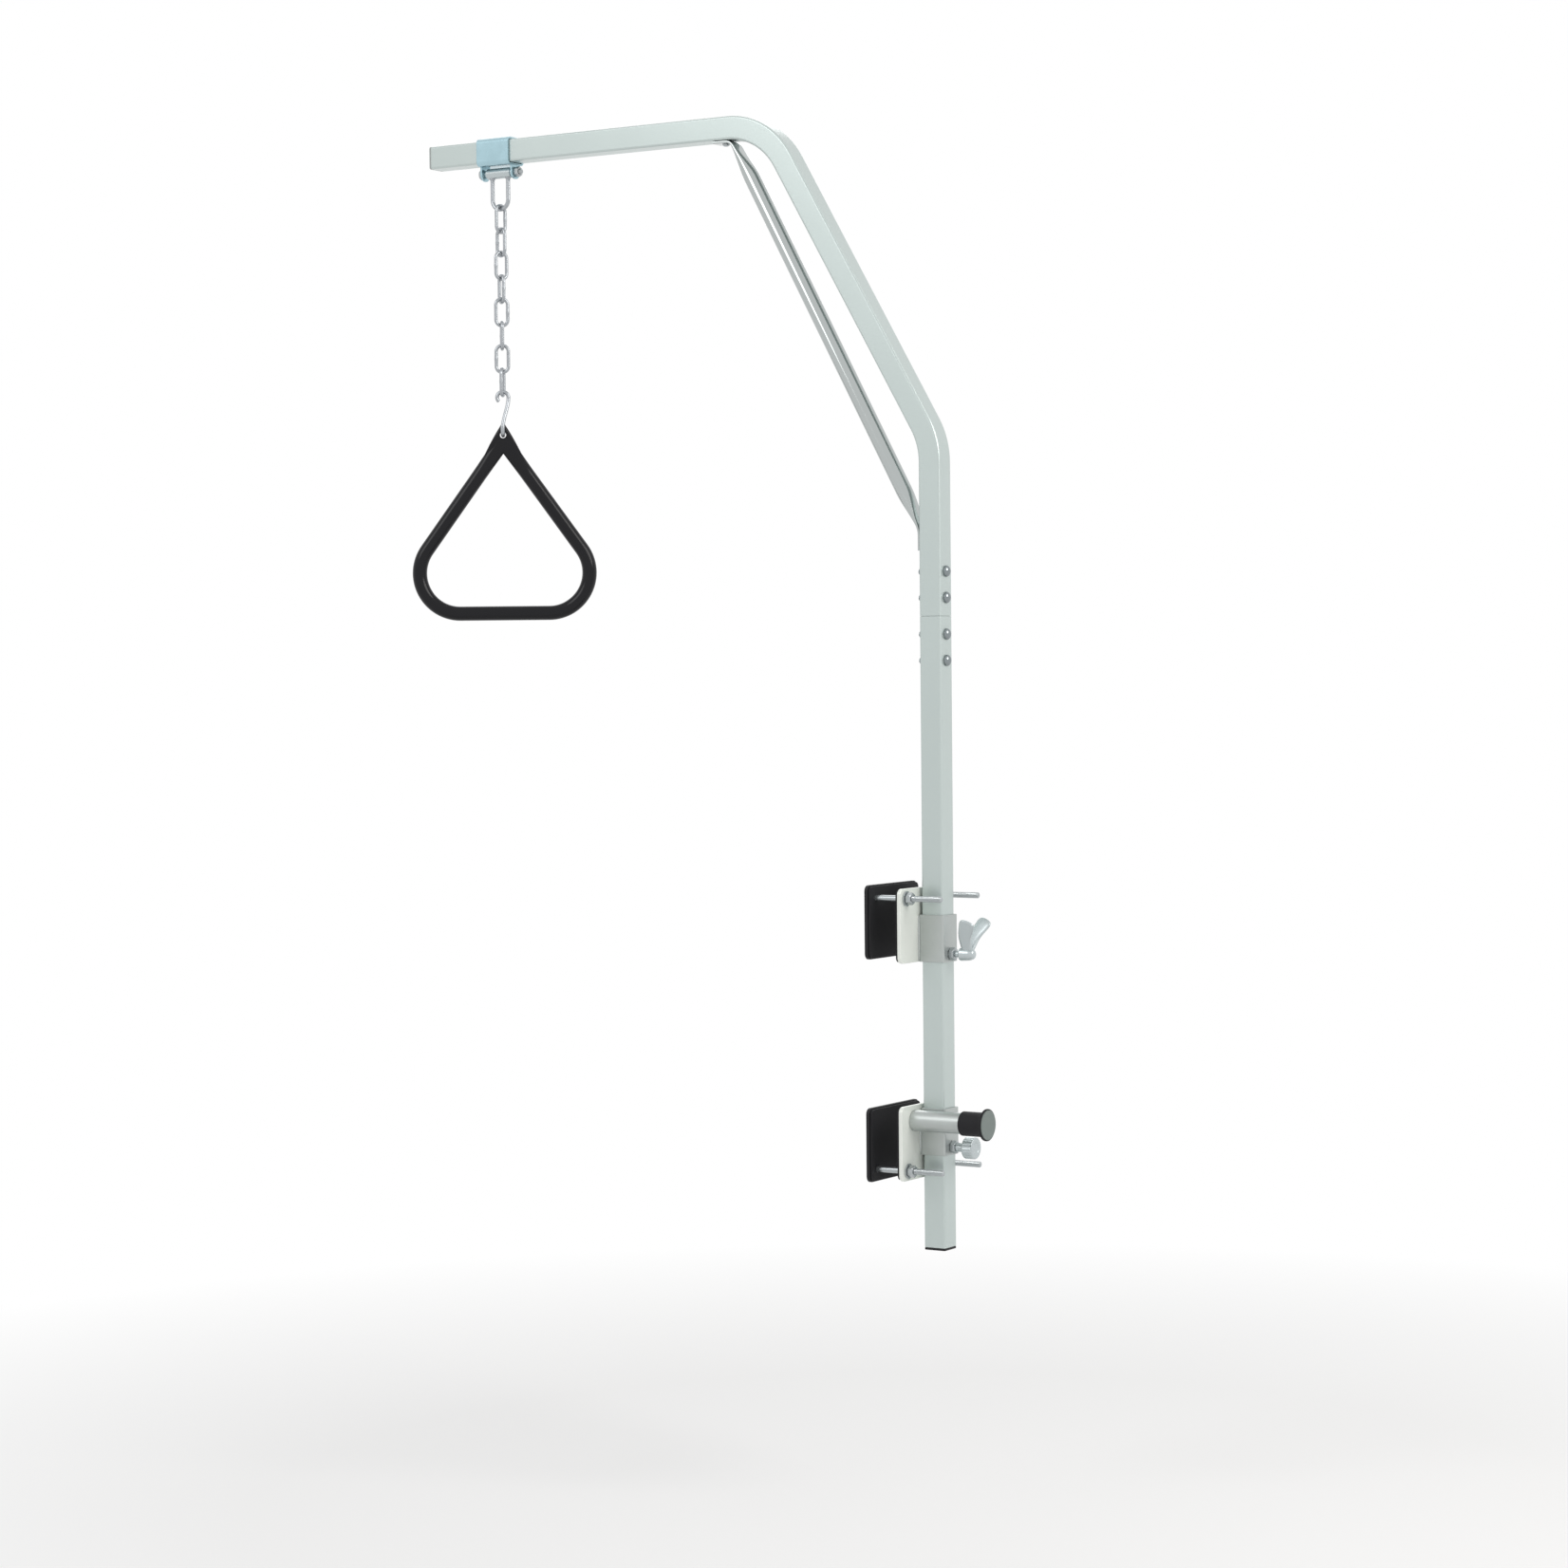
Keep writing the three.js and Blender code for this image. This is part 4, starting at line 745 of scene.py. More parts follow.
class TRAPEZE_OT_splice(bpy.types.Operator):
    """Makes the domed bolts and the nuts at the bars' seam"""

    bl_idname = "trapeze.splice"
    bl_label = "Seam bolts"

    def execute(self, context):
        """Each bolt is a domed bolt along X, and each nut a hexagon round its tail."""
        sizes = context.scene.trapeze_splice
        shank = sizes.shank / 2
        for i in range(1, 5):
            node = f"splice_bolt_{i}"
            tail, top = span(node)
            bolt = domed_bolt(tail, shank, top - sizes.head_rise, sizes.head_rise,
                              extent(node)[2] / 2, sizes.rim, on_line(node), X_AXIS)
            # Domes and nuts take the chrome whose darkened colour is painted dark reflection
            new_piece(f"{node}_dome", [bolt], "painted_reflection_chrome", "mast", node)
            new_nut(f"splice_nut_{i}", shank + SEAT_GAP, "mast", "painted_reflection_chrome", back=True)
        return {"FINISHED"}


class TRAPEZE_OT_brace(bpy.types.Operator):
    """Makes the round brace with flattened ends, and its two screws"""

    bl_idname = "trapeze.brace"
    bl_label = "Brace"

    def path(self, sizes):
        """Centre line from the foot's flat tab up the slant to the head's, with close points
        where the tube widens, and how round the tube is at each point."""
        start, end = low("brace_tube")[[0, 2]], high("brace_tube")[[0, 2]]
        half = sizes.tab_thickness / 2
        foot, head = [end[0] - half, start[1] + sizes.tab], [start[0] + sizes.tab, end[1] - half]
        corners = np.array([[foot[0], start[1]], foot, head, [start[0], head[1]]])
        foot, head = corners[1:3]
        ends = eased(corners, 0.3 * sizes.tab, 8)
        ahead = (head - foot) / np.linalg.norm(head - foot)
        reach = np.linspace(0, sizes.flare, 40)[:, None]
        reach = reach[reach[:, 0] > 0.35 * sizes.tab]
        count = len(ends) // 2
        flat = np.concatenate([
            ends[:count], foot + ahead * reach, head - ahead * reach[::-1], ends[count:]])
        from_foot = np.linalg.norm(flat - foot, axis=1) * (flat[:, 1] > foot[1])
        from_head = np.linalg.norm(flat - head, axis=1) * (flat[:, 0] > head[0])
        return flat, smooth(np.minimum(from_foot, from_head) / sizes.flare)

    def execute(self, context):
        """The brace's section is a circle where the tube is round. In its flat ends it has the
        same cosine and sine to a power near a third, which gives a flat box with soft corners."""
        sizes = context.scene.trapeze_brace
        flat, roundness = self.path(sizes)
        ahead = np.gradient(flat, axis=0)
        headings = np.arctan2(ahead[:, 1], ahead[:, 0])
        wide = extent("brace_tube")[1] * (1 - roundness) + sizes.diameter * roundness
        thick = sizes.tab_thickness * (1 - roundness) + sizes.diameter * roundness
        power = 0.35 * (1 - roundness) + roundness
        circle = ring(1)
        bent = np.sign(circle) * np.abs(circle) ** power[:, None, None]
        outline = bent * np.stack([wide, thick], -1)[:, None] / 2
        tube = carried(*in_plane(flat, headings, np.zeros(3), X_AXIS, Z_AXIS), outline)
        new_piece("brace_rod", [tube], "chrome", "mast", "brace_tube")

        for node, axis in (("brace_foot_screw", X_AXIS), ("brace_head_screw", Z_AXIS)):
            screw = domed_bolt(
                -high(node) @ axis, sizes.screw / 2, -low(node) @ axis - sizes.head_rise,
                sizes.head_rise, extent(node)[1] / 2, sizes.rim, middle(node) * (1 - axis), -axis)
            new_piece(f"{node}_head", [screw], "screw_zinc", "mast", node)
        return {"FINISHED"}


class TRAPEZE_OT_brackets(bpy.types.Operator):
    """Makes the plates, pads, clamp bolts, washers, nuts and sleeves of both brackets"""

    bl_idname = "trapeze.brackets"
    bl_label = "Clamp brackets"

    def plates(self, sizes, bracket):
        """Plates and pads: rounded rectangles with rounded rims, and with holes round the clamp
        bolts."""
        bolts = [middle(f"{bracket}_clamp_bolt_{side}") for side in ("near", "far")]
        for part, body, kind, edge, corner in (
            ("front_plate", "bracket", "bright_zinc", sizes.plate_edge, sizes.plate_corner),
            ("front_pad", "bracket", "black_rubber", sizes.pad_edge, sizes.pad_corner),
            ("back_plate", "jaw", "black_steel", sizes.plate_edge, sizes.plate_corner),
            ("back_pad", "jaw", "black_rubber", sizes.pad_edge, sizes.pad_corner),
        ):
            node = f"{bracket}_{part}"
            thickness, width, height = extent(node)
            origin = on_line(node, low(node)[0])
            centres = [(bolt - origin)[1:] for bolt in bolts]
            made = pierced(box_outline(width, height, corner), thickness, edge, origin, Y_AXIS,
                           Z_AXIS, centres, sizes.bolt / 2 + sizes.bolt_play)
            new_piece(f"{node}_sheet", [made], kind, f"{bracket}_{body}", node)

    def bolts(self, sizes, bracket):
        """Carriage bolts, and the washers and nuts that hold them."""
        radius = sizes.bolt / 2
        bore = radius + SEAT_GAP
        for side in ("near", "far"):
            node = f"{bracket}_clamp_bolt_{side}"
            start, end = span(node)
            thread = end - sizes.thread
            parts = [
                domed_bolt(-thread, radius, -start - sizes.head_rise, sizes.head_rise,
                           extent(node)[1] / 2, sizes.rim, on_line(node), -X_AXIS),
                threaded(thread, end, radius, sizes.pitch, on_line(node), X_AXIS),
            ]
            new_piece(f"{node}_shank", parts, "screw_zinc", f"{bracket}_jaw", node)
            node = f"{bracket}_washer_{side}"
            washer = round_tube(*span(node), bore, extent(node)[1] / 2, on_line(node))
            new_piece(f"{node}_ring", [washer], "screw_zinc", f"{bracket}_bracket", node)
            new_nut(f"{bracket}_clamp_nut_{side}", bore, f"{bracket}_bracket")

    def sleeve(self, sizes, bracket, screw):
        """Sleeve round the mast, its two weld beads, and the nut for its lock screw. A bead's
        radius ripples with the size of a sine along its length, and falls off at both ends as a
        low power of half a sine wave does."""
        node = f"{bracket}_sleeve"
        width, depth, height = extent(node)
        bore = width - 2 * sizes.sleeve_wall
        parts = [walled(
            box_outline(width, depth, sizes.sleeve_corner),
            box_outline(bore, bore, sizes.sleeve_bore_corner), height, sizes.sleeve_edge,
            middle(node) * (1, 1, 0) + low(node) * Z_AXIS, X_AXIS, Y_AXIS)]
        rise = np.linspace(0.0, 1.0, 120)
        ripple = 0.85 + 0.15 * np.abs(np.sin(rise * np.pi * height / sizes.ripple))
        swell = sizes.weld * ripple * np.sin(np.pi * rise.clip(0.004, 0.996)) ** 0.15
        outline = ring(1, WIRE_SIDES) * swell[:, None, None]
        for way in (-1, 1):
            foot = low(node) * (1, 0, 1) + sizes.weld_end * Z_AXIS
            foot += way * (depth / 2 - sizes.weld_inset) * Y_AXIS
            points = foot + rise[:, None] * (height - 2 * sizes.weld_end) * Z_AXIS
            parts.append(carried(points, Y_AXIS, X_AXIS, outline))
        new_piece(f"{node}_tube", parts, "grey_zinc", f"{bracket}_bracket", node)
        new_nut(f"{bracket}_weld_nut", screw / 2 + SEAT_GAP, f"{bracket}_bracket")

    def execute(self, context):
        sizes = context.scene.trapeze_brackets
        for bracket in ("upper", "lower"):
            self.plates(sizes, bracket)
            self.bolts(sizes, bracket)
            self.sleeve(sizes, bracket, context.scene.trapeze_screws.shank)
        return {"FINISHED"}


class TRAPEZE_OT_lock_screws(bpy.types.Operator):
    """Makes the wing screw of the upper sleeve and the knob screw of the lower one"""

    bl_idname = "trapeze.lock_screws"
    bl_label = "Lock screws"

    def ear(self, sizes, root, way):
        """Ear of the wing screw: a flat oval section along a line that leans to its side and
        bends outwards at its middle. It widens evenly up to its blunt, rounded end, whose width
        falls off to a tenth, as the cube root of one less nearly the distance cubed."""
        s = np.sin(np.linspace(0, np.pi / 2, 60))
        bend = sizes.flare * (0.4 + 1.2 * smooth((s - 0.3) / 0.4))
        steps = np.diff(s) * sizes.ear
        heading = (bend[1:] + bend[:-1]) / 2
        out = np.concatenate([[0], np.cumsum(steps * np.sin(heading))])
        up = np.concatenate([[0], np.cumsum(steps * np.cos(heading))])
        lean = math.cos(sizes.spread) * Z_AXIS + way * math.sin(sizes.spread) * Y_AXIS
        points = root + out[:, None] * X_AXIS + up[:, None] * lean
        side = np.cos(bend)[:, None] * X_AXIS - np.sin(bend)[:, None] * lean
        end = np.cbrt(1 - 0.999 * ((s - 0.8) / 0.2).clip(0, 1) ** 3)
        width = sizes.ear_width * (sizes.ear_neck + (1 - sizes.ear_neck) * s) * end
        thickness = sizes.ear_thickness * (1.5 - 0.5 * s) * (0.35 + 0.65 * end)
        circle = ring(1, EAR_SIDES)
        oval = np.sign(circle) * np.abs(circle) ** 0.6
        outline = oval * np.stack([thickness, width], -1)[:, None] / 2
        return carried(points, side, np.cross(lean, X_AXIS), outline)

    def wing(self, sizes):
        """Wing screw: a shank and a tapered hub with two ears."""
        node = "upper_wing_screw"
        origin = on_line("upper_weld_nut")
        start, shank, hub = low(node)[0], sizes.shank / 2, sizes.hub / 2
        hub_start = high("upper_weld_nut")[0] + sizes.hub_gap
        end = hub_start + sizes.hub_length
        section = [
            [start, 0], [start, shank], [hub_start, shank], [hub_start, hub],
            [hub_start + 0.7 * sizes.hub_length, 0.9 * hub], [end, 0.6 * hub], [end, 0],
        ]
        body = turned(eased(section, sizes.hub_round, 5), origin, X_AXIS)
        root = origin + (hub_start + sizes.hub_length / 2) * X_AXIS + 0.1 * hub * Z_AXIS
        ears = [self.ear(sizes, root, way) for way in (-1, 1)]
        new_piece(f"{node}_grip", [body, *ears], "lock_zinc", "upper_screw", node)

    def knob(self, sizes):
        """Knob screw: a shank with a thicker neck, and a grip whose outer radius falls and rises
        with the cosine of the turn times the number of flutes."""
        node = "lower_knob_screw"
        origin = on_line("lower_weld_nut")
        start, end = span(node)
        shank, neck, knob = sizes.shank / 2, sizes.neck / 2, sizes.knob / 2
        grip = end - sizes.knob_length
        neck_start, neck_end = grip - sizes.neck_length, grip + OVERLAP
        stem = turned([[start, 0], [start, shank], [neck_start, shank], [neck_start, neck],
                       [neck_end, neck], [neck_end, 0]], origin, X_AXIS)
        dish = end - sizes.dish
        section = [[grip, 0], [grip, knob], [end, knob], [end, 0.55 * knob], [dish, 0.5 * knob],
                   [dish, 0]]
        profile = eased(section, sizes.knob_round, 5)
        turn = np.linspace(0, 2 * np.pi, sizes.flutes * 8, endpoint=False)
        flute = 1 - sizes.flute_depth * (0.5 - 0.5 * np.cos(turn * sizes.flutes))
        outer = ((profile[:, 1:] / knob - 0.8) / 0.2).clip(0, 1)
        radius = profile[:, 1:] * (1 - outer + outer * flute)
        body = skin(spun(profile[:, 0], radius, origin, X_AXIS, len(turn)))
        new_piece(f"{node}_grip", [stem, body], "lock_zinc", "lower_screw", node)

    def execute(self, context):
        sizes = context.scene.trapeze_screws
        self.wing(sizes)
        self.knob(sizes)
        return {"FINISHED"}


class TRAPEZE_OT_bumper(bpy.types.Operator):
    """Makes the bumper's tube, its flared dark cap and the pale pad in the cap's face"""

    bl_idname = "trapeze.bumper"
    bl_label = "Bumper"

    def execute(self, context):
        """All three pieces are turned. The cap widens from its neck to its rim along a quarter
        of an ellipse."""
        sizes = context.scene.trapeze_bumper
        origin = on_line("bumper_tube")
        start, end = span("bumper_tube")
        outer = extent("bumper_tube")[1] / 2
        tube = round_tube(start, end, outer - sizes.wall, outer, origin)
        new_piece("bumper_arm", [tube], "grey_zinc", "lower_bracket", "bumper_tube")

        mouth, face = span("bumper_tip")
        back, front = span("bumper_pad")
        tip, pad = extent("bumper_tip")[1] / 2, extent("bumper_pad")[1] / 2
        neck = sizes.neck / 2
        seat, bore, stop = pad + SEAT_GAP, outer + SEAT_GAP, end + SEAT_GAP
        turn = np.linspace(np.pi / 2, 0, 14)
        flare = np.stack([
            face - sizes.flare + (sizes.flare - sizes.rim) * np.sin(turn),
            neck + (tip - neck) * (1 - np.cos(turn)),
        ], -1)
        inside = [[back - SEAT_GAP, 0], [back - SEAT_GAP, seat], [face, seat], [face, tip]]
        outside = [[mouth, neck], [mouth, bore], [stop, bore], [stop, 0]]
        cap = turned(eased([*inside, *flare, *outside], sizes.cap_round), origin, X_AXIS)
        new_piece("bumper_cap", [cap], "black_rubber", "lower_bracket", "bumper_tip")
        section = [[back, 0], [back, pad], [front, pad], [front, 0]]
        disc = turned(eased(section, sizes.pad_round), origin, X_AXIS)
        new_piece("bumper_disc", [disc], "grey_rubber", "lower_bracket", "bumper_pad")
        return {"FINISHED"}


class TRAPEZE_OT_carrier(bpy.types.Operator):
    """Makes the sliding collar with its lugs and bolt, and the barrel with its wire loop"""

    bl_idname = "trapeze.carrier"
    bl_label = "Carrier and hanger"

    def collar(self, sizes, pin):
        """Collar: a rounded box tube along the arm, and a round-ended lug at each of its ends."""
        node = "carrier_collar"
        outer = extent(node)[1]
        inner = outer - 2 * sizes.wall
        start, end = span(node)
        arm = bar_measures()[2]
        parts = [walled(
            box_outline(outer, outer, sizes.corner),
            box_outline(inner, inner, sizes.corner - sizes.wall), end - start, sizes.edge,
            np.array([start, 0, arm]), Y_AXIS, Z_AXIS)]
        top = arm - outer / 2 + sizes.wall / 2
        bend = np.linspace(np.pi, 2 * np.pi, 25)
        round_end = np.stack([np.cos(bend), np.sin(bend)], -1)

        def outline(inset):
            radius = sizes.lug / 2 - inset
            return np.concatenate([
                radius * round_end + [0, pin[2]], [[radius, top - inset], [-radius, top - inset]]])
        for x in (start, end - sizes.wall):
            parts.append(slab(outline, sizes.wall, sizes.lug_edge, x * X_AXIS, Y_AXIS, Z_AXIS))
        new_piece("sliding_collar", parts, "blue_zinc", "carrier", node)

    def bolt(self, sizes, pin):
        """Hexagon bolt through the lugs: a head, a plain shank that starts inside it, and a
        thread. Its nut sits outside the other lug."""
        start, end = span("carrier_bolt")
        origin = pin * (0, 1, 1)
        radius = sizes.pin / 2
        root, neck = start + OVERLAP, end - sizes.thread
        parts = [
            hexagon_body(sizes.flats, sizes.head, 0, origin + (start + sizes.head) * X_AXIS,
                         -X_AXIS, both=False),
            turned([[root, 0], [root, radius], [neck, radius], [neck, 0]], origin, X_AXIS),
            threaded(neck, end, radius, sizes.pitch, origin, X_AXIS),
        ]
        new_piece("carrier_pin", parts, "screw_zinc", "carrier", "carrier_bolt")
        new_nut("carrier_nut", radius + SEAT_GAP, "carrier", flats=sizes.flats)

    def hanger(self, sizes, pin):
        """Barrel with narrower ends, turned, and a U of wire: a circle carried down a leg, round
        a half turn and up the other leg. A turned weld joins each leg to the barrel."""
        start, end = span("hanger_barrel")
        bore = sizes.pin / 2 + SEAT_GAP
        shoulder, body = sizes.shoulder / 2, sizes.barrel / 2
        left, right = pin[0] - sizes.body / 2, pin[0] + sizes.body / 2
        section = [
            [start, bore], [start, shoulder], [left, shoulder], [left, body],
            [right, body], [right, shoulder], [end, shoulder], [end, bore],
        ]
        barrel = turned(eased(section, sizes.barrel_round, closed=True), pin * (0, 1, 1), X_AXIS,
                        looped=True)
        new_piece("hanger_bush", [barrel], "lock_zinc", "hanger", "hanger_barrel")

        node = "hanger_loop"
        radius = (extent(node)[0] - sizes.wire) / 2
        top = pin - 0.75 * body * Z_AXIS
        drop = top[2] - low(node)[2] - sizes.wire / 2 - radius
        path = walk((-radius, 0.0), -math.pi / 2, [drop, (math.pi, radius), drop])
        wire = carried(*in_plane(*path, top * (1, 0, 1), X_AXIS, Z_AXIS),
                       ring(sizes.wire / 2, WIRE_SIDES))
        bead = eased([
            [-sizes.weld_rise, 0], [-sizes.weld_rise, sizes.weld_top / 2],
            [sizes.weld_drop, sizes.weld_bottom / 2], [sizes.weld_drop, 0]], sizes.weld_round)
        foot = pin * (1, 0, 1) - body * Z_AXIS
        beads = [turned(bead, foot + x * X_AXIS, -Z_AXIS, BEAD_SIDES) for x in (-radius, radius)]
        new_piece("hanger_wire_loop", [wire, *beads], "chain_zinc", "hanger", node)

    def execute(self, context):
        sizes = context.scene.trapeze_carrier
        pin = middle("hanger_barrel")
        self.collar(sizes, pin)
        self.bolt(sizes, pin)
        self.hanger(sizes, pin)
        return {"FINISHED"}


class TRAPEZE_OT_chain(bpy.types.Operator):
    """Makes the chain's links"""

    bl_idname = "trapeze.chain"
    bl_label = "Chain"

    def execute(self, context):
        """Each link is a circle carried round two straights and two half turns. It swells at the
        middle of one straight, by e to the power of minus the square of the distance from it."""
        sizes = context.scene.trapeze_chain
        radius = (sizes.width - sizes.wire) / 2
        for i in range(1, sizes.count + 1):
            node = f"chain_link_{i}"
            straight = extent(node)[2] - sizes.wire - 2 * radius
            shares = np.array([0.3, 0.1, 0.1, 0.1, 0.1, 0.3])
            flat, headings = walk((radius, -straight / 2), math.pi / 2, [
                *shares * straight, (math.pi, radius), straight, (math.pi, radius)])
            flat, headings = flat[:-1], headings[:-1]
            from_weld = np.abs(flat[:, 1]) / (0.15 * straight) + 9 * (flat[:, 0] < 0)
            swell = 1 + sizes.weld * np.exp(-from_weld**2)
            outline = ring(sizes.wire / 2, WIRE_SIDES) * swell[:, None, None]
            place = in_plane(flat, headings, middle(node), level(i * sizes.turn), Z_AXIS)
            link = carried(*place, outline, looped=True)
            new_piece(f"{node}_wire", [link], "chain_zinc", f"link_{i}", node)
        return {"FINISHED"}


class TRAPEZE_OT_hook(bpy.types.Operator):
    """Makes the hook between the chain and the handle"""

    bl_idname = "trapeze.hook"
    bl_label = "Hook"

    def path(self, sizes, ahead, beside):
        """Line of the wire: an arc over the top, a cubic down the shank whose ends run upright,
        and an arc under the bottom, a quarter turn from the first. Gives the shares of that
        quarter turn as well."""
        top = high("handle_hook")[2] - sizes.wire / 2
        centre = middle("handle") * (1, 1, 0) + top * Z_AXIS
        over = np.linspace(math.pi + sizes.upper_wrap, 0, 48)[:, None]
        upper = centre + sizes.upper * (np.cos(over) * ahead + (np.sin(over) - 1) * Z_AXIS)
        under = np.linspace(math.pi, 2 * math.pi + sizes.lower_wrap, 44)[:, None]
        lower = centre + sizes.lower * (np.cos(under) * beside + (np.sin(under) + 1) * Z_AXIS)
        lower -= (extent("handle_hook")[2] - sizes.wire) * Z_AXIS
        s = np.linspace(0, 1, 24)[1:-1, None]
        pull = 0.9 * (upper[-1][2] - lower[0][2]) * -Z_AXIS
        shank = (
            (2 * s**3 - 3 * s**2 + 1) * upper[-1] + (s**3 - 2 * s**2 + s) * pull
            + (3 * s**2 - 2 * s**3) * lower[0] + (s**3 - s**2) * pull)
        shares = np.concatenate([0 * over, s, 0 * under + 1])
        return np.concatenate([upper, shank, lower]), shares

    def execute(self, context):
        """The wire's circle is carried along the line, and its side turns by a quarter on the
        way. At each blunt end its radius falls as a quarter circle does."""
        sizes = context.scene.trapeze_hook
        turn = context.scene.trapeze_handle.turn
        ahead, beside = level(turn), level(turn + math.pi / 2)
        points, shares = self.path(sizes, ahead, beside)
        tangent = np.gradient(points, axis=0)
        tangent /= np.linalg.norm(tangent, axis=1, keepdims=True)
        swing = shares * np.pi / 2
        side = np.cross(tangent, np.cos(swing) * beside - np.sin(swing) * ahead)
        side /= np.linalg.norm(side, axis=1, keepdims=True)
        count = np.arange(len(points))
        from_end = np.minimum(count, count[::-1]) / 2
        blunt = np.sqrt(1 - (1 - from_end.clip(0, 1)) ** 2).clip(0.02, 1)
        outline = ring(sizes.wire / 2, WIRE_SIDES) * blunt[:, None, None]
        hook = carried(points, side, np.cross(side, tangent), outline)
        new_piece("handle_hook_wire", [hook], "chain_zinc", "hook", "handle_hook")
        return {"FINISHED"}


class TRAPEZE_OT_handle(bpy.types.Operator):
    """Makes the triangular grab handle with its flattened, drilled tip"""

    bl_idname = "trapeze.handle"
    bl_label = "Grab handle"

    def rod(self, sizes, apex, ahead):
        """Rod: a circle carried down one side, along the base and up the other side, and
        pressed to an oval towards the tip by a smooth step of the distance from it."""
        down = math.pi / 2 - sizes.half_angle
        turn = math.pi - down
        reach = sizes.corner * math.tan(turn / 2)
        side = sizes.height / math.cos(sizes.half_angle) - reach - sizes.press_end
        base = 2 * (sizes.height * math.tan(sizes.half_angle) - reach)
        close = [sizes.press_end / 12] * 12
        corner = (-turn, sizes.corner)
        flat, headings = walk(
            (0.0, 0.0), -down, [*close, side, corner, base, corner, side, *close])
        from_start = np.linalg.norm(flat, axis=1) - sizes.press_start
        press = smooth(1 - from_start / (sizes.press_end - sizes.press_start))
        thick = sizes.rod * (1 - press) + 1.15 * sizes.tip * press
        wide = sizes.rod * (1 + 0.05 * press)
        outline = ring(1, ROD_SIDES) * np.stack([thick, wide], -1)[:, None] / 2
        return carried(*in_plane(flat, headings, apex, ahead, Z_AXIS), outline)

    def tip(self, sizes, apex, ahead):
        """Tip: a flat shape between the round hole and an outline whose sides are parabolas up
        to a blunt top. Each point of the hole lies on the line from its centre to a point of the
        outline, the outer rim is half an ellipse, and all is one looped grid."""
        rise = sizes.rod / 2 / math.sin(sizes.half_angle)
        shoulder = (rise + sizes.tip_drop) * math.tan(sizes.half_angle)
        s = np.linspace(0, 1, 40)[:, None]
        start, pull, top = np.array([
            [shoulder, -sizes.tip_drop], [sizes.tip_out, sizes.tip_up],
            [sizes.tip_top / 2, sizes.tip_rise]])
        right = (1 - s) ** 2 * start + 2 * s * (1 - s) * pull + s**2 * top
        left = right[::-1] * [-1, 1]
        foot = np.linspace(left[-1], right[0], 30)[1:-1]
        foot[:, 1] += sizes.tip_bow * np.sin(np.linspace(0, np.pi, len(foot)))
        outline = np.concatenate([right, left, foot])
        hole = np.array([0, sizes.hole_rise])
        away = (outline - hole) / np.linalg.norm(outline - hole, axis=1, keepdims=True)
        bend = np.linspace(0, np.pi, 9)
        half, edge = sizes.tip / 2, sizes.hole_edge
        shapes = [outline + away * 0.8 * half * (math.sin(i) - 1) for i in bend]
        shapes += [hole + away * (sizes.hole / 2 + lift) for lift in (edge, 0, 0, edge)]
        heights = [*(half * np.cos(bend)), -half, edge - half, half - edge, half]
        return stacked(shapes, heights, apex, ahead, Z_AXIS, True)

    def execute(self, context):
        sizes = context.scene.trapeze_handle
        ahead = level(sizes.turn)
        apex = middle("handle") * (1, 1, 0) + (high("handle")[2] - sizes.tip_rise) * Z_AXIS
        parts = [self.rod(sizes, apex, ahead), self.tip(sizes, apex, ahead)]
        new_piece("grab_handle", parts, "black_vinyl", "handle", "handle")
        return {"FINISHED"}


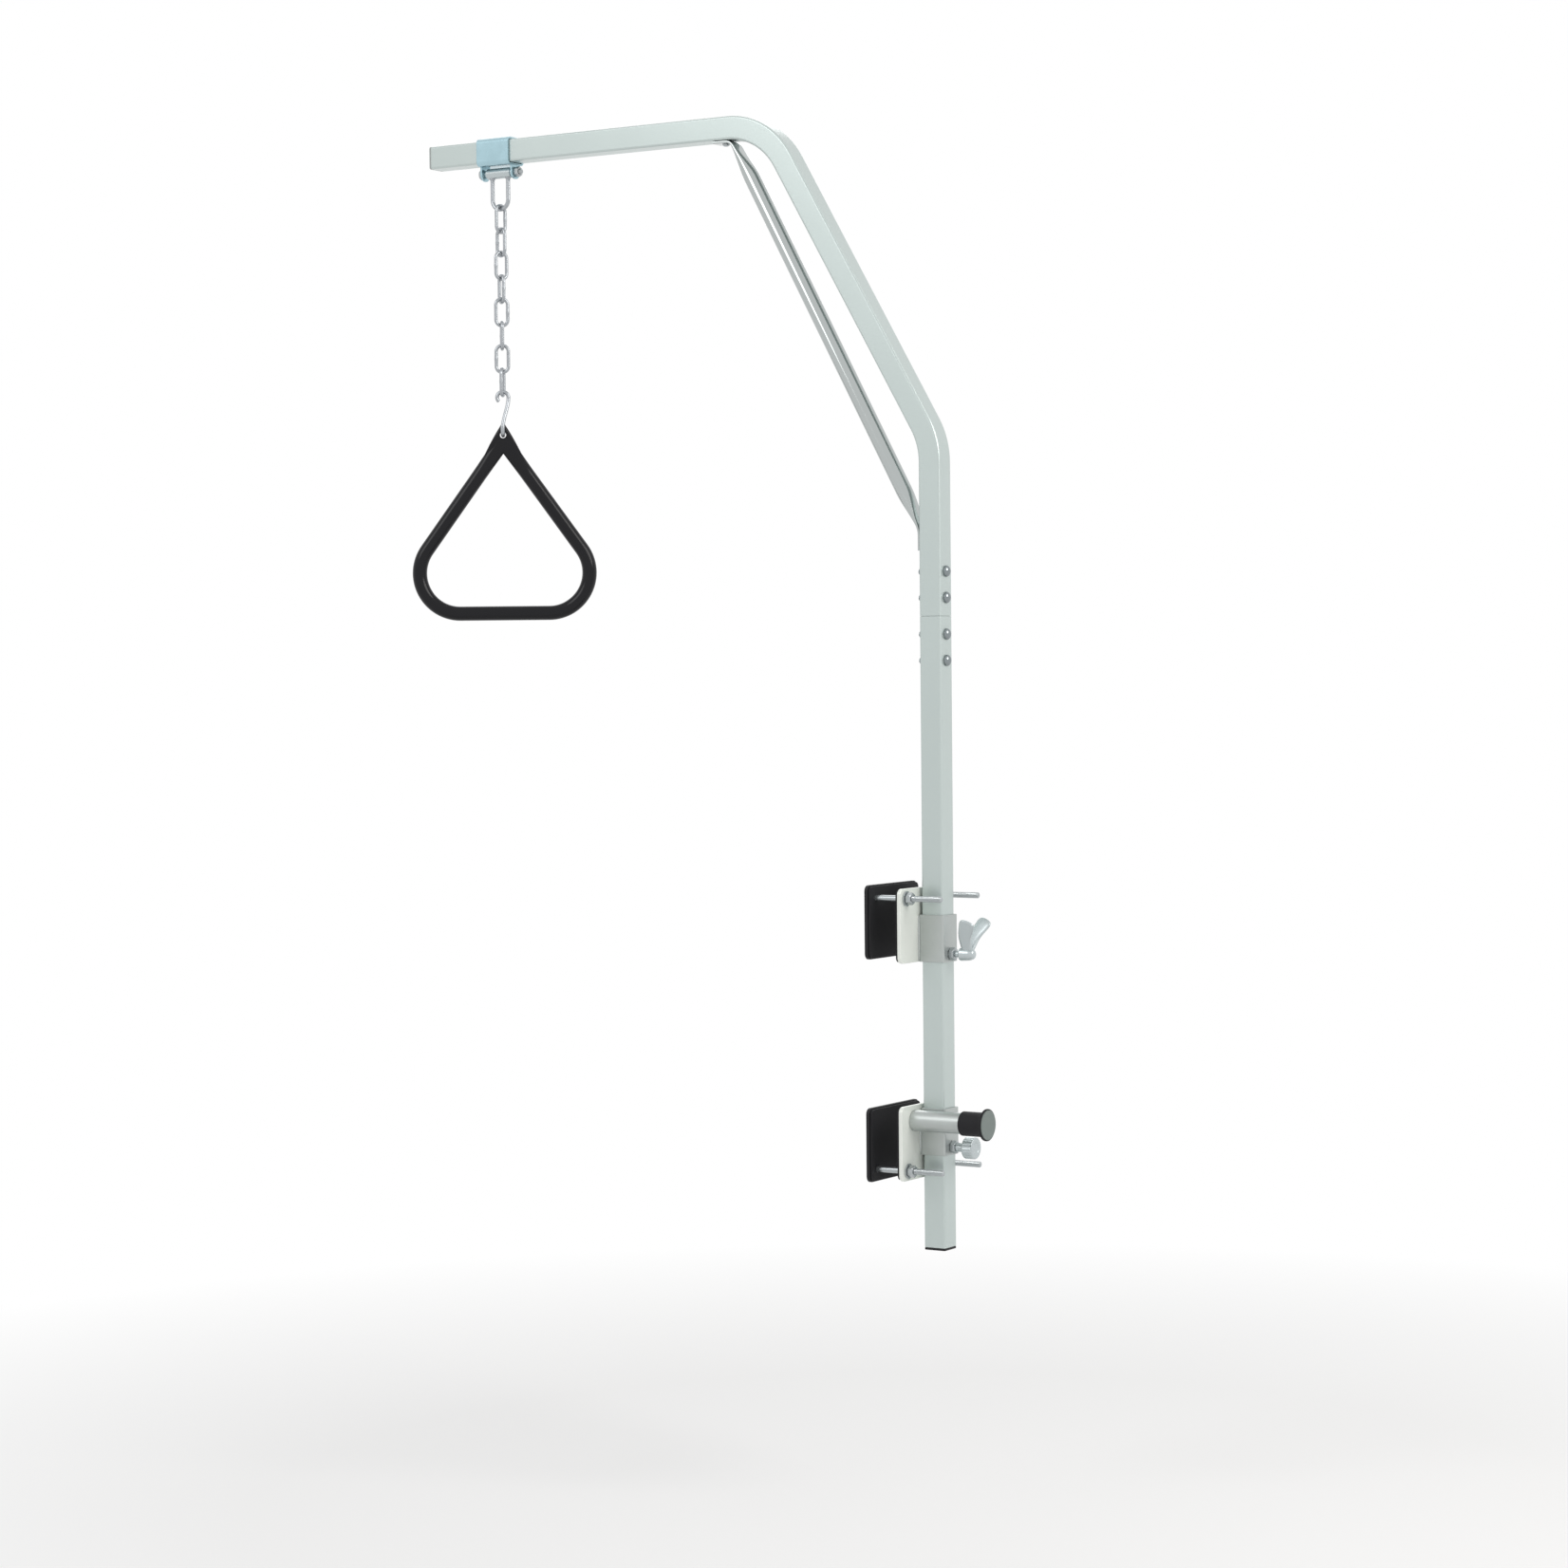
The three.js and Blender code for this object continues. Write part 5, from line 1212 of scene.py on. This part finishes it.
class TRAPEZE_OT_stage(bpy.types.Operator):
    """Sets the finish of the hidden insert, the floor, the lights, the world and the camera"""

    bl_idname = "trapeze.stage"
    bl_label = "Stage"

    def seen(self, tree):
        """One for rays that come straight from the eye, a mirror or glass, and else nothing."""
        path = add_node(tree, "LightPath")
        seen = path.outputs["Is Camera Ray"]
        for label in ("Is Glossy Ray", "Is Transmission Ray"):
            seen = add_node(
                tree, "Math", {0: seen, 1: path.outputs[label]}, operation="MAXIMUM").outputs[0]
        return seen

    def world(self, scene, settings):
        """World: white where it is seen, and softer light for all other rays."""
        scene.world = bpy.data.worlds.new("Studio")
        scene.world.use_nodes = True
        tree = scene.world.node_tree
        plain = tree.nodes["Background"]
        feed(tree, plain, {"Color": WHITE, "Strength": settings.world})
        white = add_node(tree, "Background", {"Color": WHITE})
        mix = add_node(tree, "MixShader", {
            0: self.seen(tree), 1: plain.outputs[0], 2: white.outputs[0]})
        feed(tree, tree.nodes["World Output"], {"Surface": mix.outputs[0]})

    def floor(self, settings, height):
        """Floor: a pale disc whose colour runs to plain white away from the object. From
        below it is clear, so that the object can be seen from there too."""
        bpy.ops.mesh.primitive_circle_add(
            vertices=2 * ROUND_SIDES, radius=settings.floor_radius, fill_type="NGON",
            location=(0, 0, height))
        floor = bpy.context.object
        floor.name = "studio_floor"
        material = bpy.data.materials.new("Pale floor")
        material.use_nodes = True
        tree = material.node_tree
        shader = tree.nodes["Principled BSDF"]
        feed(tree, shader, {
            "Base Color": (*[settings.floor_shade] * 3, 1.0),
            "Roughness": settings.floor_roughness, "Specular IOR Level": 0.0})
        far = add_node(tree, "VectorMath", {0: add_node(tree, "TexCoord").outputs["Object"]},
                       operation="LENGTH")
        fade = add_node(tree, "MapRange", {
            "From Min": settings.fade_start, "From Max": settings.fade_end,
            "Value": far.outputs["Value"]})
        both = add_node(tree, "Math", {0: fade.outputs["Result"], 1: self.seen(tree)},
                        operation="MULTIPLY")
        top = add_node(tree, "MixShader", {
            0: both.outputs[0], 1: shader.outputs[0], 2: add_node(tree, "Emission").outputs[0]})
        sides = add_node(tree, "MixShader", {
            0: add_node(tree, "NewGeometry").outputs["Backfacing"], 1: top.outputs[0],
            2: add_node(tree, "BsdfTransparent").outputs[0]})
        feed(tree, tree.nodes["Material Output"], {"Surface": sides.outputs[0]})
        floor.data.materials.append(material)

    def lamp(self, size, name, place, aim, power, tint):
        """Lamp: a round area light turned to its aim."""
        light = bpy.data.lights.new(name, "AREA")
        light.shape, light.size, light.energy, light.color = "DISK", size, power, tint
        lamp = bpy.data.objects.new(name, light)
        bpy.context.scene.collection.objects.link(lamp)
        lamp.location = place
        lamp.rotation_euler = (Vector(aim) - Vector(place)).to_track_quat("-Z", "Y").to_euler()

    def camera(self, scene, settings, foot):
        """Camera: turned about the upright, dropped and rolled, at its place beside the mast."""
        turn = settings.view_turn
        eye = (foot + settings.eye_height * Z_AXIS - settings.aside * level(turn)
               + settings.distance * level(turn - math.pi / 2))
        data = bpy.data.cameras.new("Photo view")
        data.lens = settings.lens
        data.sensor_width = SENSOR_WIDTH
        camera = bpy.data.objects.new("Photo view", data)
        scene.collection.objects.link(camera)
        camera.matrix_world = (
            Matrix.Translation(eye) @ Matrix.Rotation(turn, 4, "Z")
            @ Matrix.Rotation(math.pi / 2 - settings.view_drop, 4, "X")
            @ Matrix.Rotation(-settings.view_roll, 4, "Z"))
        scene.camera = camera

    def execute(self, context):
        scene = context.scene
        settings = scene.trapeze_stage
        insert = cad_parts["splice_insert"]
        insert.data.materials.clear()
        insert.data.materials.append(finish("bright_zinc"))
        foot = np.array([bar_measures()[1], 0, low("mast_end_plug")[2]])
        self.world(scene, settings)
        self.floor(settings, foot[2] - settings.floor_drop)
        for lamp in LAMPS:
            self.lamp(settings.lamp, *lamp)
        self.camera(scene, settings, foot)
        scene.view_settings.view_transform = "Standard"
        return {"FINISHED"}


class TRAPEZE_PT_panel(bpy.types.Panel):
    """Lists the steps that build the trapeze"""

    bl_label = "Bed Trapeze"
    bl_idname = "TRAPEZE_PT_panel"
    bl_space_type = "VIEW_3D"
    bl_region_type = "UI"
    bl_category = "Trapeze"

    def draw(self, context):
        for operator in OPERATORS:
            self.layout.operator(operator.bl_idname)


SETTINGS = {
    "trapeze_finishes": TRAPEZE_finishes,
    "trapeze_bars": TRAPEZE_bar_sizes,
    "trapeze_splice": TRAPEZE_splice_sizes,
    "trapeze_brace": TRAPEZE_brace_sizes,
    "trapeze_brackets": TRAPEZE_bracket_sizes,
    "trapeze_screws": TRAPEZE_screw_sizes,
    "trapeze_bumper": TRAPEZE_bumper_sizes,
    "trapeze_carrier": TRAPEZE_carrier_sizes,
    "trapeze_chain": TRAPEZE_chain_sizes,
    "trapeze_hook": TRAPEZE_hook_sizes,
    "trapeze_handle": TRAPEZE_handle_sizes,
    "trapeze_stage": TRAPEZE_stage_settings,
}
OPERATORS = (
    TRAPEZE_OT_bars, TRAPEZE_OT_splice, TRAPEZE_OT_brace, TRAPEZE_OT_brackets,
    TRAPEZE_OT_lock_screws, TRAPEZE_OT_bumper, TRAPEZE_OT_carrier, TRAPEZE_OT_chain,
    TRAPEZE_OT_hook, TRAPEZE_OT_handle, TRAPEZE_OT_stage,
)
CLASSES = (*SETTINGS.values(), *OPERATORS, TRAPEZE_PT_panel)


def register():
    for made in CLASSES:
        bpy.utils.register_class(made)
    for name, group in SETTINGS.items():
        setattr(bpy.types.Scene, name, PointerProperty(type=group))


def unregister():
    for name in SETTINGS:
        delattr(bpy.types.Scene, name)
    for made in reversed(CLASSES):
        bpy.utils.unregister_class(made)


def main():
    """Builds every piece and the stage."""
    register()
    for operator in OPERATORS:
        group, name = operator.bl_idname.split(".")
        getattr(getattr(bpy.ops, group), name)()


if __name__ == "__main__":
    main()
